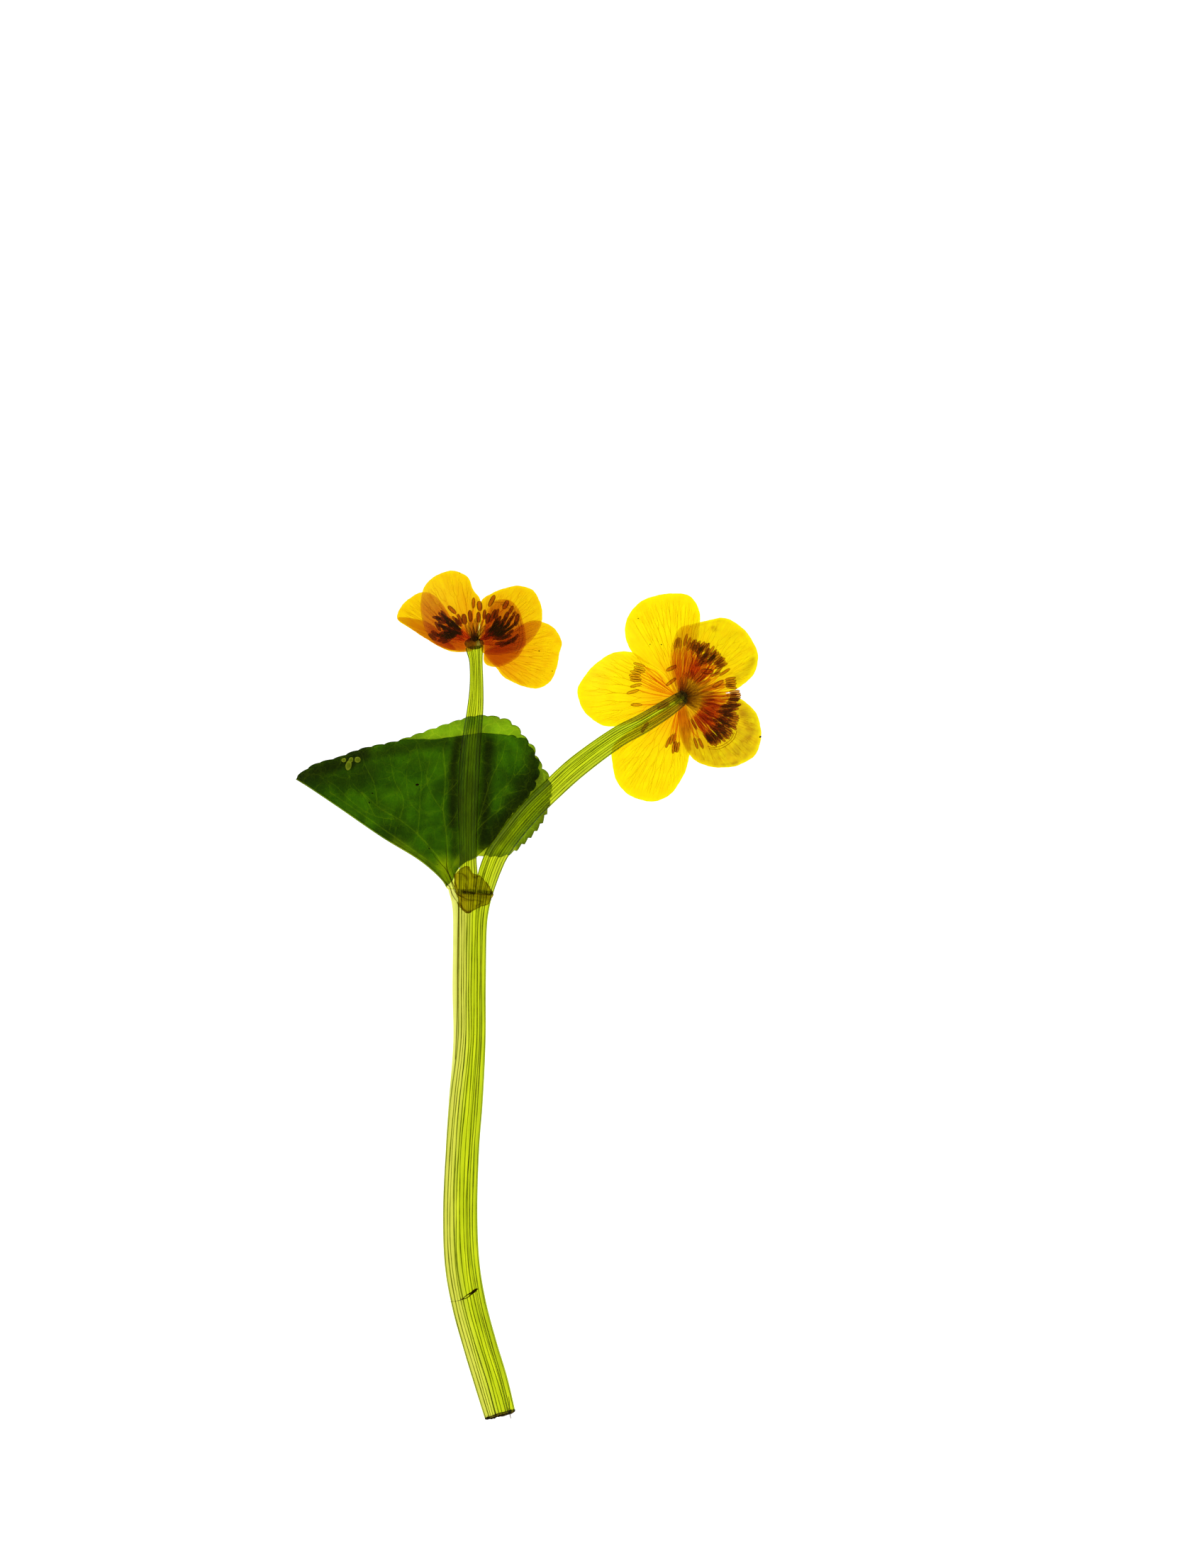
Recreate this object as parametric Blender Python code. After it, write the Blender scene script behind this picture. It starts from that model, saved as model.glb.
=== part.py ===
"""Marsh marigold cutting, lying on a surface and lightly pressed.

One main stem forks into two flower stalks. A leaf, folded along its midrib, and a papery sheath
sit at the fork. The left flower lies on its side, and the right flower lies face down under its
stalk. All sizes below are millimetres, with the stem's cut end at -Y and the surface at z = 0.
"""
import math

import bmesh
import bpy
from mathutils import Vector

# Overall sizes and places
METRES_PER_MM = 0.001
PLANT_SHIFT = (0.06, 0.03)
LEFT_FLOWER_CENTRE = (-10.9, 70.5)
RIGHT_FLOWER_CENTRE = (30.3, 59.4)

# Thin tissue: how thick it is, and how far apart two layers of it lie
SEPAL_THICKNESS = 0.4
SEPAL_LAYER_STEP = 0.75
SEPAL_CELLS = 7
FLOOR_GAP = 0.05
WAVE_HEIGHT = 0.15
WAVE_LENGTH = 3.4

# A stem's section: 1 is an ellipse and less is squarer, with a narrow flat underneath
SECTION_SQUARENESS = 0.83
SECTION_FLAT = 0.05

# Stems: x, y, height of the centre, width, thickness and, on the main stem, the width of its wing
MAIN_STEM_ROUTE = (
    (-11.0, 19.8, 1.5, 6.9, 3.1, 1.9),
    (-11.3, 15.5, 1.5, 5.8, 3.1, 1.1),
    (-11.5, 1.0, 1.5, 5.6, 3.1, 1.1),
    (-11.6, -9.5, 1.5, 5.7, 3.1, 0.8),
    (-12.6, -21.0, 1.5, 6.6, 3.1, 0.2),
    (-13.4, -31.0, 1.5, 6.7, 3.1, 0.0),
    (-13.85, -43.0, 1.5, 6.9, 3.1, 0.0),
    (-13.5, -53.5, 1.5, 7.0, 3.1, 0.0),
    (-12.1, -62.0, 1.5, 6.9, 3.1, 0.0),
    (-9.9, -70.2, 1.5, 6.8, 3.1, 0.0),
    (-7.7, -77.5, 1.5, 6.8, 3.1, 0.0),
    (-5.85, -84.25, 1.5, 6.3, 3.1, 0.0),
)
MAIN_STEM_STATIONS = 20
MAIN_STEM_SIDES = 24
MAIN_STEM_RIB = 0.14

LEFT_STALK_ROUTE = (
    (-12.6, 20.5, 1.55, 3.0, 2.9),
    (-12.7, 24.0, 2.15, 3.0, 2.7),
    (-12.5, 26.8, 2.65, 3.3, 2.5),
    (-12.35, 31.0, 2.75, 3.6, 2.3),
    (-12.2, 40.0, 2.75, 4.2, 2.2),
    (-11.7, 49.0, 2.75, 4.0, 2.1),
    (-10.8, 57.3, 2.7, 3.3, 2.0),
    (-10.55, 62.0, 2.6, 2.8, 1.9),
    (-10.75, 68.8, 2.7, 2.5, 1.9),
)
RIGHT_STALK_ROUTE = (
    (-9.0, 20.5, 1.55, 3.3, 2.9),
    (-8.6, 22.6, 1.85, 4.0, 2.8),
    (-7.7, 25.4, 2.35, 4.4, 2.6),
    (-6.25, 28.6, 2.75, 4.5, 2.4),
    (-3.4, 32.6, 2.75, 4.4, 2.3),
    (0.3, 37.0, 2.75, 4.5, 2.3),
    (4.4, 41.0, 2.85, 4.4, 2.3),
    (9.7, 45.8, 3.6, 4.5, 2.3),
    (17.2, 51.3, 4.8, 4.2, 2.2),
    (22.5, 54.2, 5.45, 4.0, 2.1),
    (26.9, 56.9, 5.75, 3.7, 2.0),
    (29.0, 58.3, 5.85, 2.9, 1.9),
)
STALK_STATIONS = 14
STALK_SIDES = 16
STALK_RIB = 0.1

# Right flower, face down: a shallow dome that all its sepals share
RIGHT_DOME_HEIGHT = 3.6
RIGHT_DOME_FLATNESS = 1.7
RIGHT_DOME_MIDDLE_X = -2.2
RIGHT_DOME_REACH = (19.6, 21.6)
RIGHT_SEPALS = (
    # The layer of each sepal, then its outline from its base, seen from above
    (1, ((-0.5, 1.6), (-3.6, 5.5), (-7.8, 7.1), (-10.0, 9.4), (-11.2, 13.4), (-10.2, 17.0),
         (-7.8, 19.5), (-4.2, 20.8), (0.6, 21.0), (3.0, 19.3), (3.9, 16.1), (3.3, 11.5),
         (2.1, 6.7), (0.9, 2.5))),
    (0, ((-1.6, 0.6), (-3.6, 4.9), (-6.6, 7.7), (-9.9, 9.1), (-13.5, 9.1), (-17.3, 6.7),
         (-20.2, 3.0), (-20.6, 0.4), (-19.1, -2.9), (-16.3, -5.1), (-13.8, -5.7), (-9.3, -4.7),
         (-4.2, -2.0))),
    (0, ((-0.6, -1.8), (-4.2, -3.5), (-9.9, -6.5), (-13.3, -9.1), (-13.8, -12.1),
         (-12.7, -16.8), (-9.9, -19.6), (-5.7, -20.7), (-2.1, -19.3), (0.6, -15.4),
         (1.8, -11.4), (1.9, -8.2), (1.2, -4.4), (0.5, -2.2))),
    (1, ((1.3, -1.2), (-0.4, -4.4), (0.1, -8.2), (1.8, -11.4), (4.2, -13.2), (7.8, -13.9),
         (11.6, -13.4), (15.1, -11.2), (16.2, -7.1), (15.1, -2.9), (12.1, -0.2), (8.7, 0.9),
         (4.2, 0.9))),
    (0, ((1.4, 1.1), (-1.4, 4.3), (-2.1, 7.9), (-1.5, 11.5), (-0.3, 13.9), (2.1, 14.8),
         (5.4, 15.6), (8.4, 16.2), (11.3, 15.1), (14.0, 12.4), (15.6, 8.5), (14.5, 4.6),
         (10.9, 1.8), (7.2, 0.9), (3.6, 0.7))),
)

# Left flower, on its side: two sepals arch over its heart and three lie under it
LEFT_ARCH_EDGE = 1.3
LEFT_ARCH_HEIGHT = 3.2
LEFT_ARCH_REACH = 15.5
LEFT_BED_RISE = 0.5
LEFT_BED_RISE_REACH = 3.0
LEFT_SEPALS = (
    # Whether the sepal arches over the heart, its layer, then its outline from its base
    (False, 0, ((-1.8, -1.5), (-3.8, -1.8), (-6.4, -1.1), (-9.9, 0.9), (-13.4, 3.2),
                (-15.6, 4.8), (-15.0, 7.2), (-13.2, 9.0), (-11.3, 10.1), (-9.2, 10.1),
                (-7.1, 8.6), (-5.2, 5.8), (-3.3, 3.0), (-1.9, 0.4))),
    (True, 0, ((-1.9, -1.9), (-5.2, -1.2), (-8.0, 0.1), (-9.9, 2.7), (-10.8, 6.5),
               (-10.5, 10.3), (-9.0, 12.7), (-6.0, 14.3), (-3.8, 14.4), (-1.4, 13.2),
               (-0.3, 10.7), (1.2, 8.4), (1.3, 5.3), (0.7, 2.0), (0.2, -1.0))),
    (True, 1, ((1.6, -2.0), (1.2, 0.6), (1.1, 4.4), (1.3, 8.1), (3.3, 9.8), (6.6, 11.1),
               (9.2, 11.4), (11.8, 10.4), (13.3, 7.4), (13.4, 4.1), (11.8, 1.0), (8.7, -1.6),
               (4.7, -2.5))),
    (False, 0, ((1.9, -2.0), (4.1, -4.8), (5.9, -6.9), (9.2, -8.5), (12.2, -9.1),
                (14.8, -8.0), (16.3, -5.3), (16.9, -2.2), (17.4, 0.1), (16.2, 2.7),
                (13.6, 4.3), (10.8, 4.4), (7.8, 2.7), (4.2, -0.3))),
    (False, 1, ((1.8, -1.3), (1.9, -4.0), (4.2, -4.8), (6.6, -4.1), (8.7, -2.6),
                (10.1, -0.3), (10.1, 2.0), (9.6, 4.4), (8.5, 7.2), (6.6, 8.7), (4.0, 8.4),
                (2.6, 6.5), (2.0, 3.4), (1.8, 0.6))),
)

# Flower hearts: a stamen's filament and anther, and a carpel, whose profile is rows of
# (share of its length, share of its full width, share of the height it starts with)
FILAMENT_HALF_WIDTH = 0.15
ANTHER_HALF_LENGTH = 1.05
ANTHER_HALF_WIDTH = 0.37
ANTHER_HALF_HEIGHT = 0.27
ANTHER_SHOULDER = 0.25
CARPEL_SLENDERNESS = 0.055
CARPEL_PROFILE = ((0.5, 0.75, 0.85), (0.8, 1.0, 0.6), (1.0, 0.25, 0.2))

# Right heart: heights of the receptacle's rings with their radii, from the flower's face up
RIGHT_HEART_RINGS = ((0.45, 0.9), (0.55, 1.3), (1.15, 1.4), (1.4, 1.4), (1.8, 1.4), (2.0, 1.4),
                     (2.5, 1.4), (2.8, 1.0), (5.1, 1.0), (5.3, 1.4), (6.1, 1.45), (6.5, 1.0))
RIGHT_CARPEL_BAND = (0.55, 1.15)
RIGHT_CARPEL_REACH = ((64.8, 5.2), (48.2, 6.6), (31.6, 7.2), (15.0, 7.0), (3.0, 6.6),
                      (-9.5, 6.2), (-22.0, 5.4))
RIGHT_CARPEL_TIP_HEIGHT = 0.45
RIGHT_STAMEN_BANDS = ((1.4, 1.8), (2.0, 2.5))
RIGHT_ANTHER_HEIGHTS = (0.9, 1.75)
# Direction in degrees, with the reach of the lower and of the upper stamen, or of neither
RIGHT_STAMENS = ((98.0, 10.6, 12.2), (81.4, 12.0, 10.4), (64.8, 10.9, 12.2), (48.2, 12.2, 10.6),
                 (31.6, 10.8, 12.2), (15.0, 11.8, 10.2), (3.0, 10.2, 11.6), (-9.5, 11.9, 9.4),
                 (-22.0, 9.6, 11.8), (-34.5, 11.6, 9.2), (-47.0, 9.3, 11.4), (-60.0, 10.8, 8.8),
                 (-73.0, 9.3, 10.1), (-86.0, None, None), (-98.0, 8.7, 10.2),
                 (-110.0, 10.0, 8.4), (-128.0, None, None), (-148.0, None, None),
                 (187.0, 10.0, 11.4), (172.0, 11.3, 8.8), (157.0, 9.6, 11.0),
                 (142.0, 10.8, 9.0), (126.0, None, None), (112.0, None, 6.4))

# Left heart, in the same form
LEFT_HEART_RINGS = ((1.75, 0.9), (1.9, 1.25), (2.3, 1.3), (2.4, 1.3), (2.95, 1.3), (3.1, 1.3),
                    (3.5, 1.25), (3.65, 0.8))
LEFT_CARPEL_BAND = (2.4, 2.95)
LEFT_CARPEL_REACH = ((126.0, 3.3), (112.0, 4.1), (98.0, 4.5), (82.0, 4.4), (66.0, 3.6))
LEFT_CARPEL_TIP_HEIGHT = 2.45
LEFT_STAMEN_BANDS = ((1.9, 2.3), (3.1, 3.5))
LEFT_ANTHER_HEIGHTS = (1.85, 2.6)
LEFT_STAMENS = ((178.0, 7.7, 6.0), (167.5, 5.6, 8.2), (157.0, 8.3, 6.4), (146.5, 6.2, 8.4),
                (136.0, 8.6, 6.6), (126.0, 6.8, 8.0), (112.0, 6.6, 8.0), (98.0, 7.8, 6.4),
                (82.0, 6.6, 8.0), (66.0, 8.6, 6.6), (52.0, 6.8, 9.4), (41.0, 9.6, 7.0),
                (30.5, 6.8, 9.2), (20.0, 9.3, 6.4), (9.5, 6.4, 8.8), (-1.0, 8.4, 6.0),
                (-25.0, None, None), (-52.0, None, None), (-78.0, None, None),
                (-104.0, None, None), (-130.0, None, None), (-157.0, None, None))

# Leaf: the fold along the midrib and the margins of its two halves, from the tip to the base
LEAF_THICKNESS = 0.32
LEAF_BED = 0.17
LEAF_FOLD_RADIUS = 0.33
LEAF_SCALLOP = 0.45
LEAF_SCALLOP_END = 0.86
LEAF_SMOOTH_TOP_X = (-24.0, -1.0)
LEAF_CELLS = 11
LEAF_FOLD_SHARE = 0.25
LEAF_MIDDLE = (-18.0, 40.5)
LEAF_BEND_ROWS = 4
LEAF_FOLD = ((-46.3, 43.1), (-43.5, 41.5), (-38.1, 37.9), (-29.4, 31.9), (-22.2, 27.5),
             (-18.0, 24.0), (-16.4, 21.9))
LEAF_BACK_MARGIN = ((-46.6, 43.7), (-43.0, 46.2), (-38.3, 47.6), (-33.6, 49.3), (-27.5, 50.6),
                    (-21.7, 52.5), (-15.9, 54.5), (-10.8, 55.9), (-5.7, 55.5), (-2.1, 53.1),
                    (1.5, 47.3), (4.0, 43.0), (3.9, 38.0), (1.5, 33.1), (-4.1, 28.1),
                    (-10.2, 27.7), (-14.0, 25.5), (-15.5, 22.6))
LEAF_FRONT_MARGIN = ((-46.6, 43.7), (-43.0, 46.2), (-38.3, 47.6), (-33.6, 49.3), (-27.5, 50.6),
                     (-23.8, 51.2), (-18.8, 51.3), (-13.0, 52.0), (-9.0, 52.5), (-1.0, 51.2),
                     (1.3, 48.2), (1.8, 44.6), (0.1, 40.2), (-4.3, 35.1), (-7.2, 30.8),
                     (-10.4, 27.9), (-14.0, 25.6), (-15.5, 22.6))
LEAF_TIP_LIFT = 2.2
LEAF_TIP_LIFT_FROM_X = -34.0
LEAF_TIP_X = -46.6
LEAF_PILLOW_HEIGHT = 1.3
LEAF_PILLOW_X = -30.0
LEAF_PILLOW_REACH = 9.0
LEAF_PILLOW_START = 2.0
LEAF_PILLOW_DEPTH = 4.5
LEAF_FOLD_DIRECTION = (0.812, -0.583)

# Papery sheath, draped over the fork
SHEATH_THICKNESS = 0.35
SHEATH_BED = 3.7
SHEATH_CLIMB = 0.12
SHEATH_CLIMB_FROM_Y = 19.5
SHEATH_RIDGE_X = -11.2
SHEATH_DROOP = 0.75
SHEATH_HALF_WIDTH = 4.0
SHEATH_CELLS = 6
SHEATH_OUTLINE = ((-15.0, 23.7), (-13.7, 25.3), (-12.1, 25.9), (-9.7, 23.8), (-8.3, 22.3),
                  (-7.2, 20.2), (-8.3, 18.2), (-10.2, 17.5), (-12.2, 16.4), (-13.3, 16.9),
                  (-14.2, 19.4), (-14.8, 21.2))

# Duckweed plant, lying on the leaf
DUCKWEED_CENTRE = (-35.6, 46.3)
DUCKWEED_THICKNESS = 0.35
DUCKWEED_GAP = 0.32
DUCKWEED_CELLS = 6
DUCKWEED_OUTLINE = ((0.1, 1.55), (-0.8, 1.25), (-0.95, 0.45), (-1.7, 0.35), (-1.95, -0.35),
                    (-1.2, -0.75), (-0.9, -1.4), (0.1, -1.6), (0.95, -1.2), (1.1, -0.5),
                    (1.85, -0.3), (1.8, 0.4), (1.0, 0.55), (0.9, 1.2))


# Finishes: linear colours, and how dull a surface is
STEM_COLOUR = (0.42, 0.52, 0.02)
LEAF_COLOUR = (0.05, 0.13, 0.01)
SHEATH_COLOUR = (0.22, 0.19, 0.02)
DUCKWEED_COLOUR = (0.17, 0.28, 0.02)
RIGHT_SEPAL_COLOUR = (0.95, 0.72, 0.0)
LEFT_SEPAL_COLOUR = (0.9, 0.5, 0.0)
HEART_COLOUR = (0.16, 0.07, 0.02)
SATIN = 0.45
DULL = 0.65


# Clearing the scene

for old in list(bpy.data.objects):
    bpy.data.objects.remove(old, do_unlink=True)


# Shared helpers

def material(name, colour, roughness):
    """A plain plant-tissue finish."""
    finish = bpy.data.materials.new(name)
    finish.use_nodes = True
    shader = finish.node_tree.nodes["Principled BSDF"]
    shader.inputs["Base Color"].default_value = (*colour, 1.0)
    shader.inputs["Roughness"].default_value = roughness
    shader.inputs["Metallic"].default_value = 0.0
    finish.diffuse_color = (*colour, 1.0)
    return finish


def empty(name, x, y, parent=None):
    """A guide that holds the pieces of one flower or of the whole plant."""
    guide = bpy.data.objects.new(name, None)
    guide.location = (x * METRES_PER_MM, y * METRES_PER_MM, 0.0)
    guide.parent = parent
    bpy.context.collection.objects.link(guide)
    return guide


def piece(name, bm, finish, parent):
    """Turn a bmesh drawn in millimetres into a named solid under its parent."""
    bmesh.ops.remove_doubles(bm, verts=bm.verts[:], dist=0.001)
    bmesh.ops.recalc_face_normals(bm, faces=bm.faces[:])
    bmesh.ops.scale(bm, vec=(METRES_PER_MM,) * 3, verts=bm.verts[:])
    mesh = bpy.data.meshes.new(name)
    bm.to_mesh(mesh)
    bm.free()
    mesh.shade_smooth()
    mesh.set_sharp_from_angle(angle=math.radians(40))
    mesh.materials.append(finish)
    solid = bpy.data.objects.new(name, mesh)
    solid.parent = parent
    bpy.context.collection.objects.link(solid)
    return solid


class Curve:
    """A smooth curve through hand-placed points, read by the fraction of its length."""

    steps = 8

    def __init__(self, points, closed):
        count = len(points)
        spans = count if closed else count - 1
        self.dense = []
        for span in range(spans):
            near = [span - 1, span, span + 1, span + 2]
            if closed:
                near = [index % count for index in near]
            else:
                near = [min(max(index, 0), count - 1) for index in near]
            corners = [points[index] for index in near]
            for step in range(self.steps):
                self.dense.append(self.between(corners, step / self.steps))
        self.dense.append(tuple(points[0] if closed else points[-1]))
        self.reach = [0.0]
        for here, there in zip(self.dense, self.dense[1:]):
            length = math.hypot(there[0] - here[0], there[1] - here[1])
            self.reach.append(self.reach[-1] + length)

    @staticmethod
    def between(corners, t):
        return tuple(0.5 * (2 * b + (c - a) * t + (2 * a - 5 * b + 4 * c - d) * t ** 2
                            + (3 * b - a - 3 * c + d) * t ** 3)
                     for a, b, c, d in zip(*corners))

    def at(self, fraction):
        goal = min(max(fraction, 0.0), 1.0) * self.reach[-1]
        index = 0
        while index < len(self.reach) - 2 and self.reach[index + 1] < goal:
            index += 1
        span = self.reach[index + 1] - self.reach[index]
        t = (goal - self.reach[index]) / span if span > 0 else 0.0
        return tuple(a + (b - a) * t for a, b in zip(self.dense[index], self.dense[index + 1]))


def sheet(name, outline, height, thickness, cells, finish, parent):
    """A thin curved plate: a square grid spread over the outline, then raised to its thickness."""
    edge = Curve(outline, closed=True)
    middle_x = sum(point[0] for point in edge.dense) / len(edge.dense)
    middle_y = sum(point[1] for point in edge.dense) / len(edge.dense)
    bm = bmesh.new()
    bmesh.ops.create_grid(bm, x_segments=cells, y_segments=cells, size=1.0)
    for vert in bm.verts:
        u = vert.co.x * math.sqrt(1 - vert.co.y ** 2 / 2)
        v = vert.co.y * math.sqrt(1 - vert.co.x ** 2 / 2)
        rim = edge.at((math.atan2(v, u) / math.tau) % 1.0)
        spread = min(math.hypot(u, v), 1.0)
        x = middle_x + spread * (rim[0] - middle_x)
        y = middle_y + spread * (rim[1] - middle_y)
        vert.co = (x, y, height(x, y))
    top = bmesh.ops.extrude_face_region(bm, geom=bm.faces[:])
    top_verts = [item for item in top["geom"] if isinstance(item, bmesh.types.BMVert)]
    bmesh.ops.translate(bm, verts=top_verts, vec=(0.0, 0.0, thickness))
    return piece(name, bm, finish, parent)


def tube_grid(bm, rows, corners):
    """A grid wrapped into a tube. Returns each point with its row and its corner."""
    bmesh.ops.create_grid(bm, x_segments=rows - 1, y_segments=corners, size=1.0)
    return [(vert, round((vert.co.x + 1) / 2 * (rows - 1)),
             round((vert.co.y + 1) / 2 * corners) % corners) for vert in bm.verts]


def close_tube(bm):
    """Join the wrapped grid's seam and fill both of its ends."""
    bmesh.ops.remove_doubles(bm, verts=bm.verts[:], dist=0.001)
    bmesh.ops.holes_fill(bm, edges=bm.edges[:], sides=0)
    bmesh.ops.recalc_face_normals(bm, faces=bm.faces[:])


# Stems

def section_point(corner, sides, width, thickness, rib, wing):
    """One corner of a flattened stem's section, ribbed on top and flat underneath."""
    turn = math.tau * corner / sides
    across = math.copysign(abs(math.cos(turn)) ** SECTION_SQUARENESS, math.cos(turn))
    lift = math.copysign(abs(math.sin(turn)) ** SECTION_SQUARENESS, math.sin(turn))
    side = across * width / 2
    height = lift * thickness / 2
    if 0 < corner < sides // 2 and corner % 2 == 0:
        height += rib
    if corner == sides // 2:
        side -= wing
    return side, max(height, -thickness / 2 + SECTION_FLAT)


def stem(name, route, stations, sides, rib, finish, parent):
    """A flattened, ribbed section carried along a route, closed at both ends."""
    path = Curve(route, closed=False)
    rows = [path.at(index / (stations - 1)) for index in range(stations)]
    bm = bmesh.new()
    for vert, index, corner in tube_grid(bm, stations, sides):
        x, y, middle, width, thickness, *wing = rows[index]
        before = rows[max(index - 1, 0)]
        after = rows[min(index + 1, stations - 1)]
        along = Vector((after[0] - before[0], after[1] - before[1])).normalized()
        side, height = section_point(corner, sides, width, thickness, rib, sum(wing))
        vert.co = (x - along.y * side, y + along.x * side, middle + height)
    close_tube(bm)
    return piece(name, bm, finish, parent)


# Flower hearts

def drum(bm, rings, directions):
    """A turned receptacle whose side has one facet for each direction, in degrees."""
    count = len(directions)
    edges = []
    for index in range(count):
        gap = (directions[index] - directions[index - 1]) % -360.0
        edges.append(math.radians(directions[index] - gap / 2))
    for vert, index, corner in tube_grid(bm, len(rings), count):
        height, radius = rings[index]
        vert.co = (radius * math.cos(edges[corner]), radius * math.sin(edges[corner]), height)
    close_tube(bm)


def side_face(bm, direction, band):
    """The facet of the receptacle's side that faces a direction, within a band of heights."""
    heading = Vector((math.cos(math.radians(direction)), math.sin(math.radians(direction))))

    def fit(face):
        middle = face.calc_center_median()
        away = abs(middle.z - (band[0] + band[1]) / 2)
        return Vector(middle.xy).normalized().dot(heading) - 10 * away - 10 * abs(face.normal.z)

    return max(bm.faces, key=fit)


def grow(bm, face, heading, stations):
    """Extrude one facet outwards through a list of (reach, height, half width, half height)."""
    ahead = Vector((math.cos(heading), math.sin(heading)))
    across = Vector((-ahead.y, ahead.x))
    for reach, height, half_width, half_height in stations:
        middle = face.calc_center_median()
        face = bmesh.ops.extrude_discrete_faces(bm, faces=[face])["faces"][0]
        for vert in face.verts:
            offset = vert.co - middle
            side = math.copysign(half_width, offset.xy.dot(across))
            lift = math.copysign(half_height, offset.z)
            vert.co = (ahead.x * reach + across.x * side, ahead.y * reach + across.y * side,
                       height + lift)


def stamen(bm, face, direction, reach, tip_height):
    """A filament with a long, flattened anther across its end."""
    grow(bm, face, math.radians(direction), (
        (reach - ANTHER_HALF_LENGTH, tip_height, FILAMENT_HALF_WIDTH, FILAMENT_HALF_WIDTH),
        (reach - ANTHER_HALF_LENGTH + ANTHER_SHOULDER, tip_height, ANTHER_HALF_WIDTH,
         ANTHER_HALF_HEIGHT),
        (reach + ANTHER_HALF_LENGTH - ANTHER_SHOULDER, tip_height, ANTHER_HALF_WIDTH,
         ANTHER_HALF_HEIGHT),
        (reach + ANTHER_HALF_LENGTH, tip_height, FILAMENT_HALF_WIDTH, FILAMENT_HALF_WIDTH)))


def carpel(bm, face, direction, reach, tip_height):
    """A small pod, widest near its middle and pointed at its tip."""
    start_height = face.calc_center_median().z
    half_height = max(vert.co.z for vert in face.verts) - start_height
    half_width = reach * CARPEL_SLENDERNESS
    grow(bm, face, math.radians(direction), [
        (reach * share, start_height + (tip_height - start_height) * share,
         half_width * width, half_height * height)
        for share, width, height in CARPEL_PROFILE])


def flower_heart(name, rings, stamens, stamen_bands, anther_heights, carpels, carpel_band,
                 carpel_tip_height, parent):
    """Receptacle, carpels and stamens, grown as one piece."""
    bm = bmesh.new()
    drum(bm, rings, [row[0] for row in stamens])
    roots = []
    for direction, *reaches in stamens:
        for reach, band, tip_height in zip(reaches, stamen_bands, anther_heights):
            if reach is not None:
                roots.append((stamen, side_face(bm, direction, band), direction, reach,
                              tip_height))
    for direction, reach in carpels:
        roots.append((carpel, side_face(bm, direction, carpel_band), direction, reach,
                      carpel_tip_height))
    for organ, face, direction, reach, tip_height in roots:
        organ(bm, face, direction, reach, tip_height)
    return piece(name, bm, material(name, HEART_COLOUR, DULL), parent)


# Leaf

def leaf_lift(x):
    """How far the leaf rises from the surface towards its tip."""
    rise = max(0.0, (LEAF_TIP_LIFT_FROM_X - x) / (LEAF_TIP_LIFT_FROM_X - LEAF_TIP_X))
    return LEAF_TIP_LIFT * rise ** 2


def leaf_front_height(x, y):
    """Middle of the leaf's front half, which stands off the back half as a low pillow."""
    tip_x, tip_y = LEAF_FOLD[0]
    inward = (y - tip_y) * LEAF_FOLD_DIRECTION[0] - (x - tip_x) * LEAF_FOLD_DIRECTION[1]
    puff = 1.0 - math.exp(-(max(inward - LEAF_PILLOW_START, 0.0) / LEAF_PILLOW_DEPTH) ** 2)
    window = math.exp(-((x - LEAF_PILLOW_X) / LEAF_PILLOW_REACH) ** 2)
    return (LEAF_BED + 2 * LEAF_FOLD_RADIUS + leaf_lift(x)
            + LEAF_PILLOW_HEIGHT * puff * window)


def leaf_back_height(x, y):
    """Middle of the leaf's back half, which lies on the surface."""
    return LEAF_BED + leaf_lift(x)


def leaf_rim(fold, margin, front, share, tooth):
    """Outline of one half by share of its boundary: a quarter is the fold, the rest its margin."""
    if share <= LEAF_FOLD_SHARE:
        return Vector(fold.at(share / LEAF_FOLD_SHARE))
    along = (1 - share) / (1 - LEAF_FOLD_SHARE)
    rim = Vector(margin.at(along))
    low, high = LEAF_SMOOTH_TOP_X
    if tooth and along < LEAF_SCALLOP_END and not (front and low < rim.x < high):
        rim += (rim - Vector(LEAF_MIDDLE)).normalized() * LEAF_SCALLOP
    return rim


def leaf_half(bm, fold, margin, front):
    """One half of the blade as a thin plate. Returns the rim that lies on the fold."""
    verts = bmesh.ops.create_grid(bm, x_segments=LEAF_CELLS, y_segments=LEAF_CELLS,
                                  size=1.0)["verts"]
    rim_verts = [vert for vert in verts if vert.co.x > 0.999]
    middle = Vector(LEAF_MIDDLE)
    height_of = leaf_front_height if front else leaf_back_height
    for vert in verts:
        column = round((vert.co.x + 1) / 2 * LEAF_CELLS)
        row = round((vert.co.y + 1) / 2 * LEAF_CELLS)
        u = vert.co.x * math.sqrt(1 - vert.co.y ** 2 / 2)
        v = vert.co.y * math.sqrt(1 - vert.co.x ** 2 / 2)
        share = round(math.atan2(v, u) / math.tau + LEAF_FOLD_SHARE / 2, 6) % 1.0
        rim = leaf_rim(fold, margin, front, share, (column + row) % 2)
        place = middle.lerp(rim, min(math.hypot(u, v), 1.0))
        vert.co = (*place, height_of(*place) - LEAF_THICKNESS / 2)
    faces = list({face for vert in verts for face in vert.link_faces})
    top = bmesh.ops.extrude_face_region(bm, geom=faces)["geom"]
    top_verts = [item for item in top if isinstance(item, bmesh.types.BMVert)]
    bmesh.ops.translate(bm, verts=top_verts, vec=(0.0, 0.0, LEAF_THICKNESS))
    above = [edge.other_vert(vert) for vert in rim_verts for edge in vert.link_edges
             if edge.other_vert(vert) in top_verts]
    return set(rim_verts + above)


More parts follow.
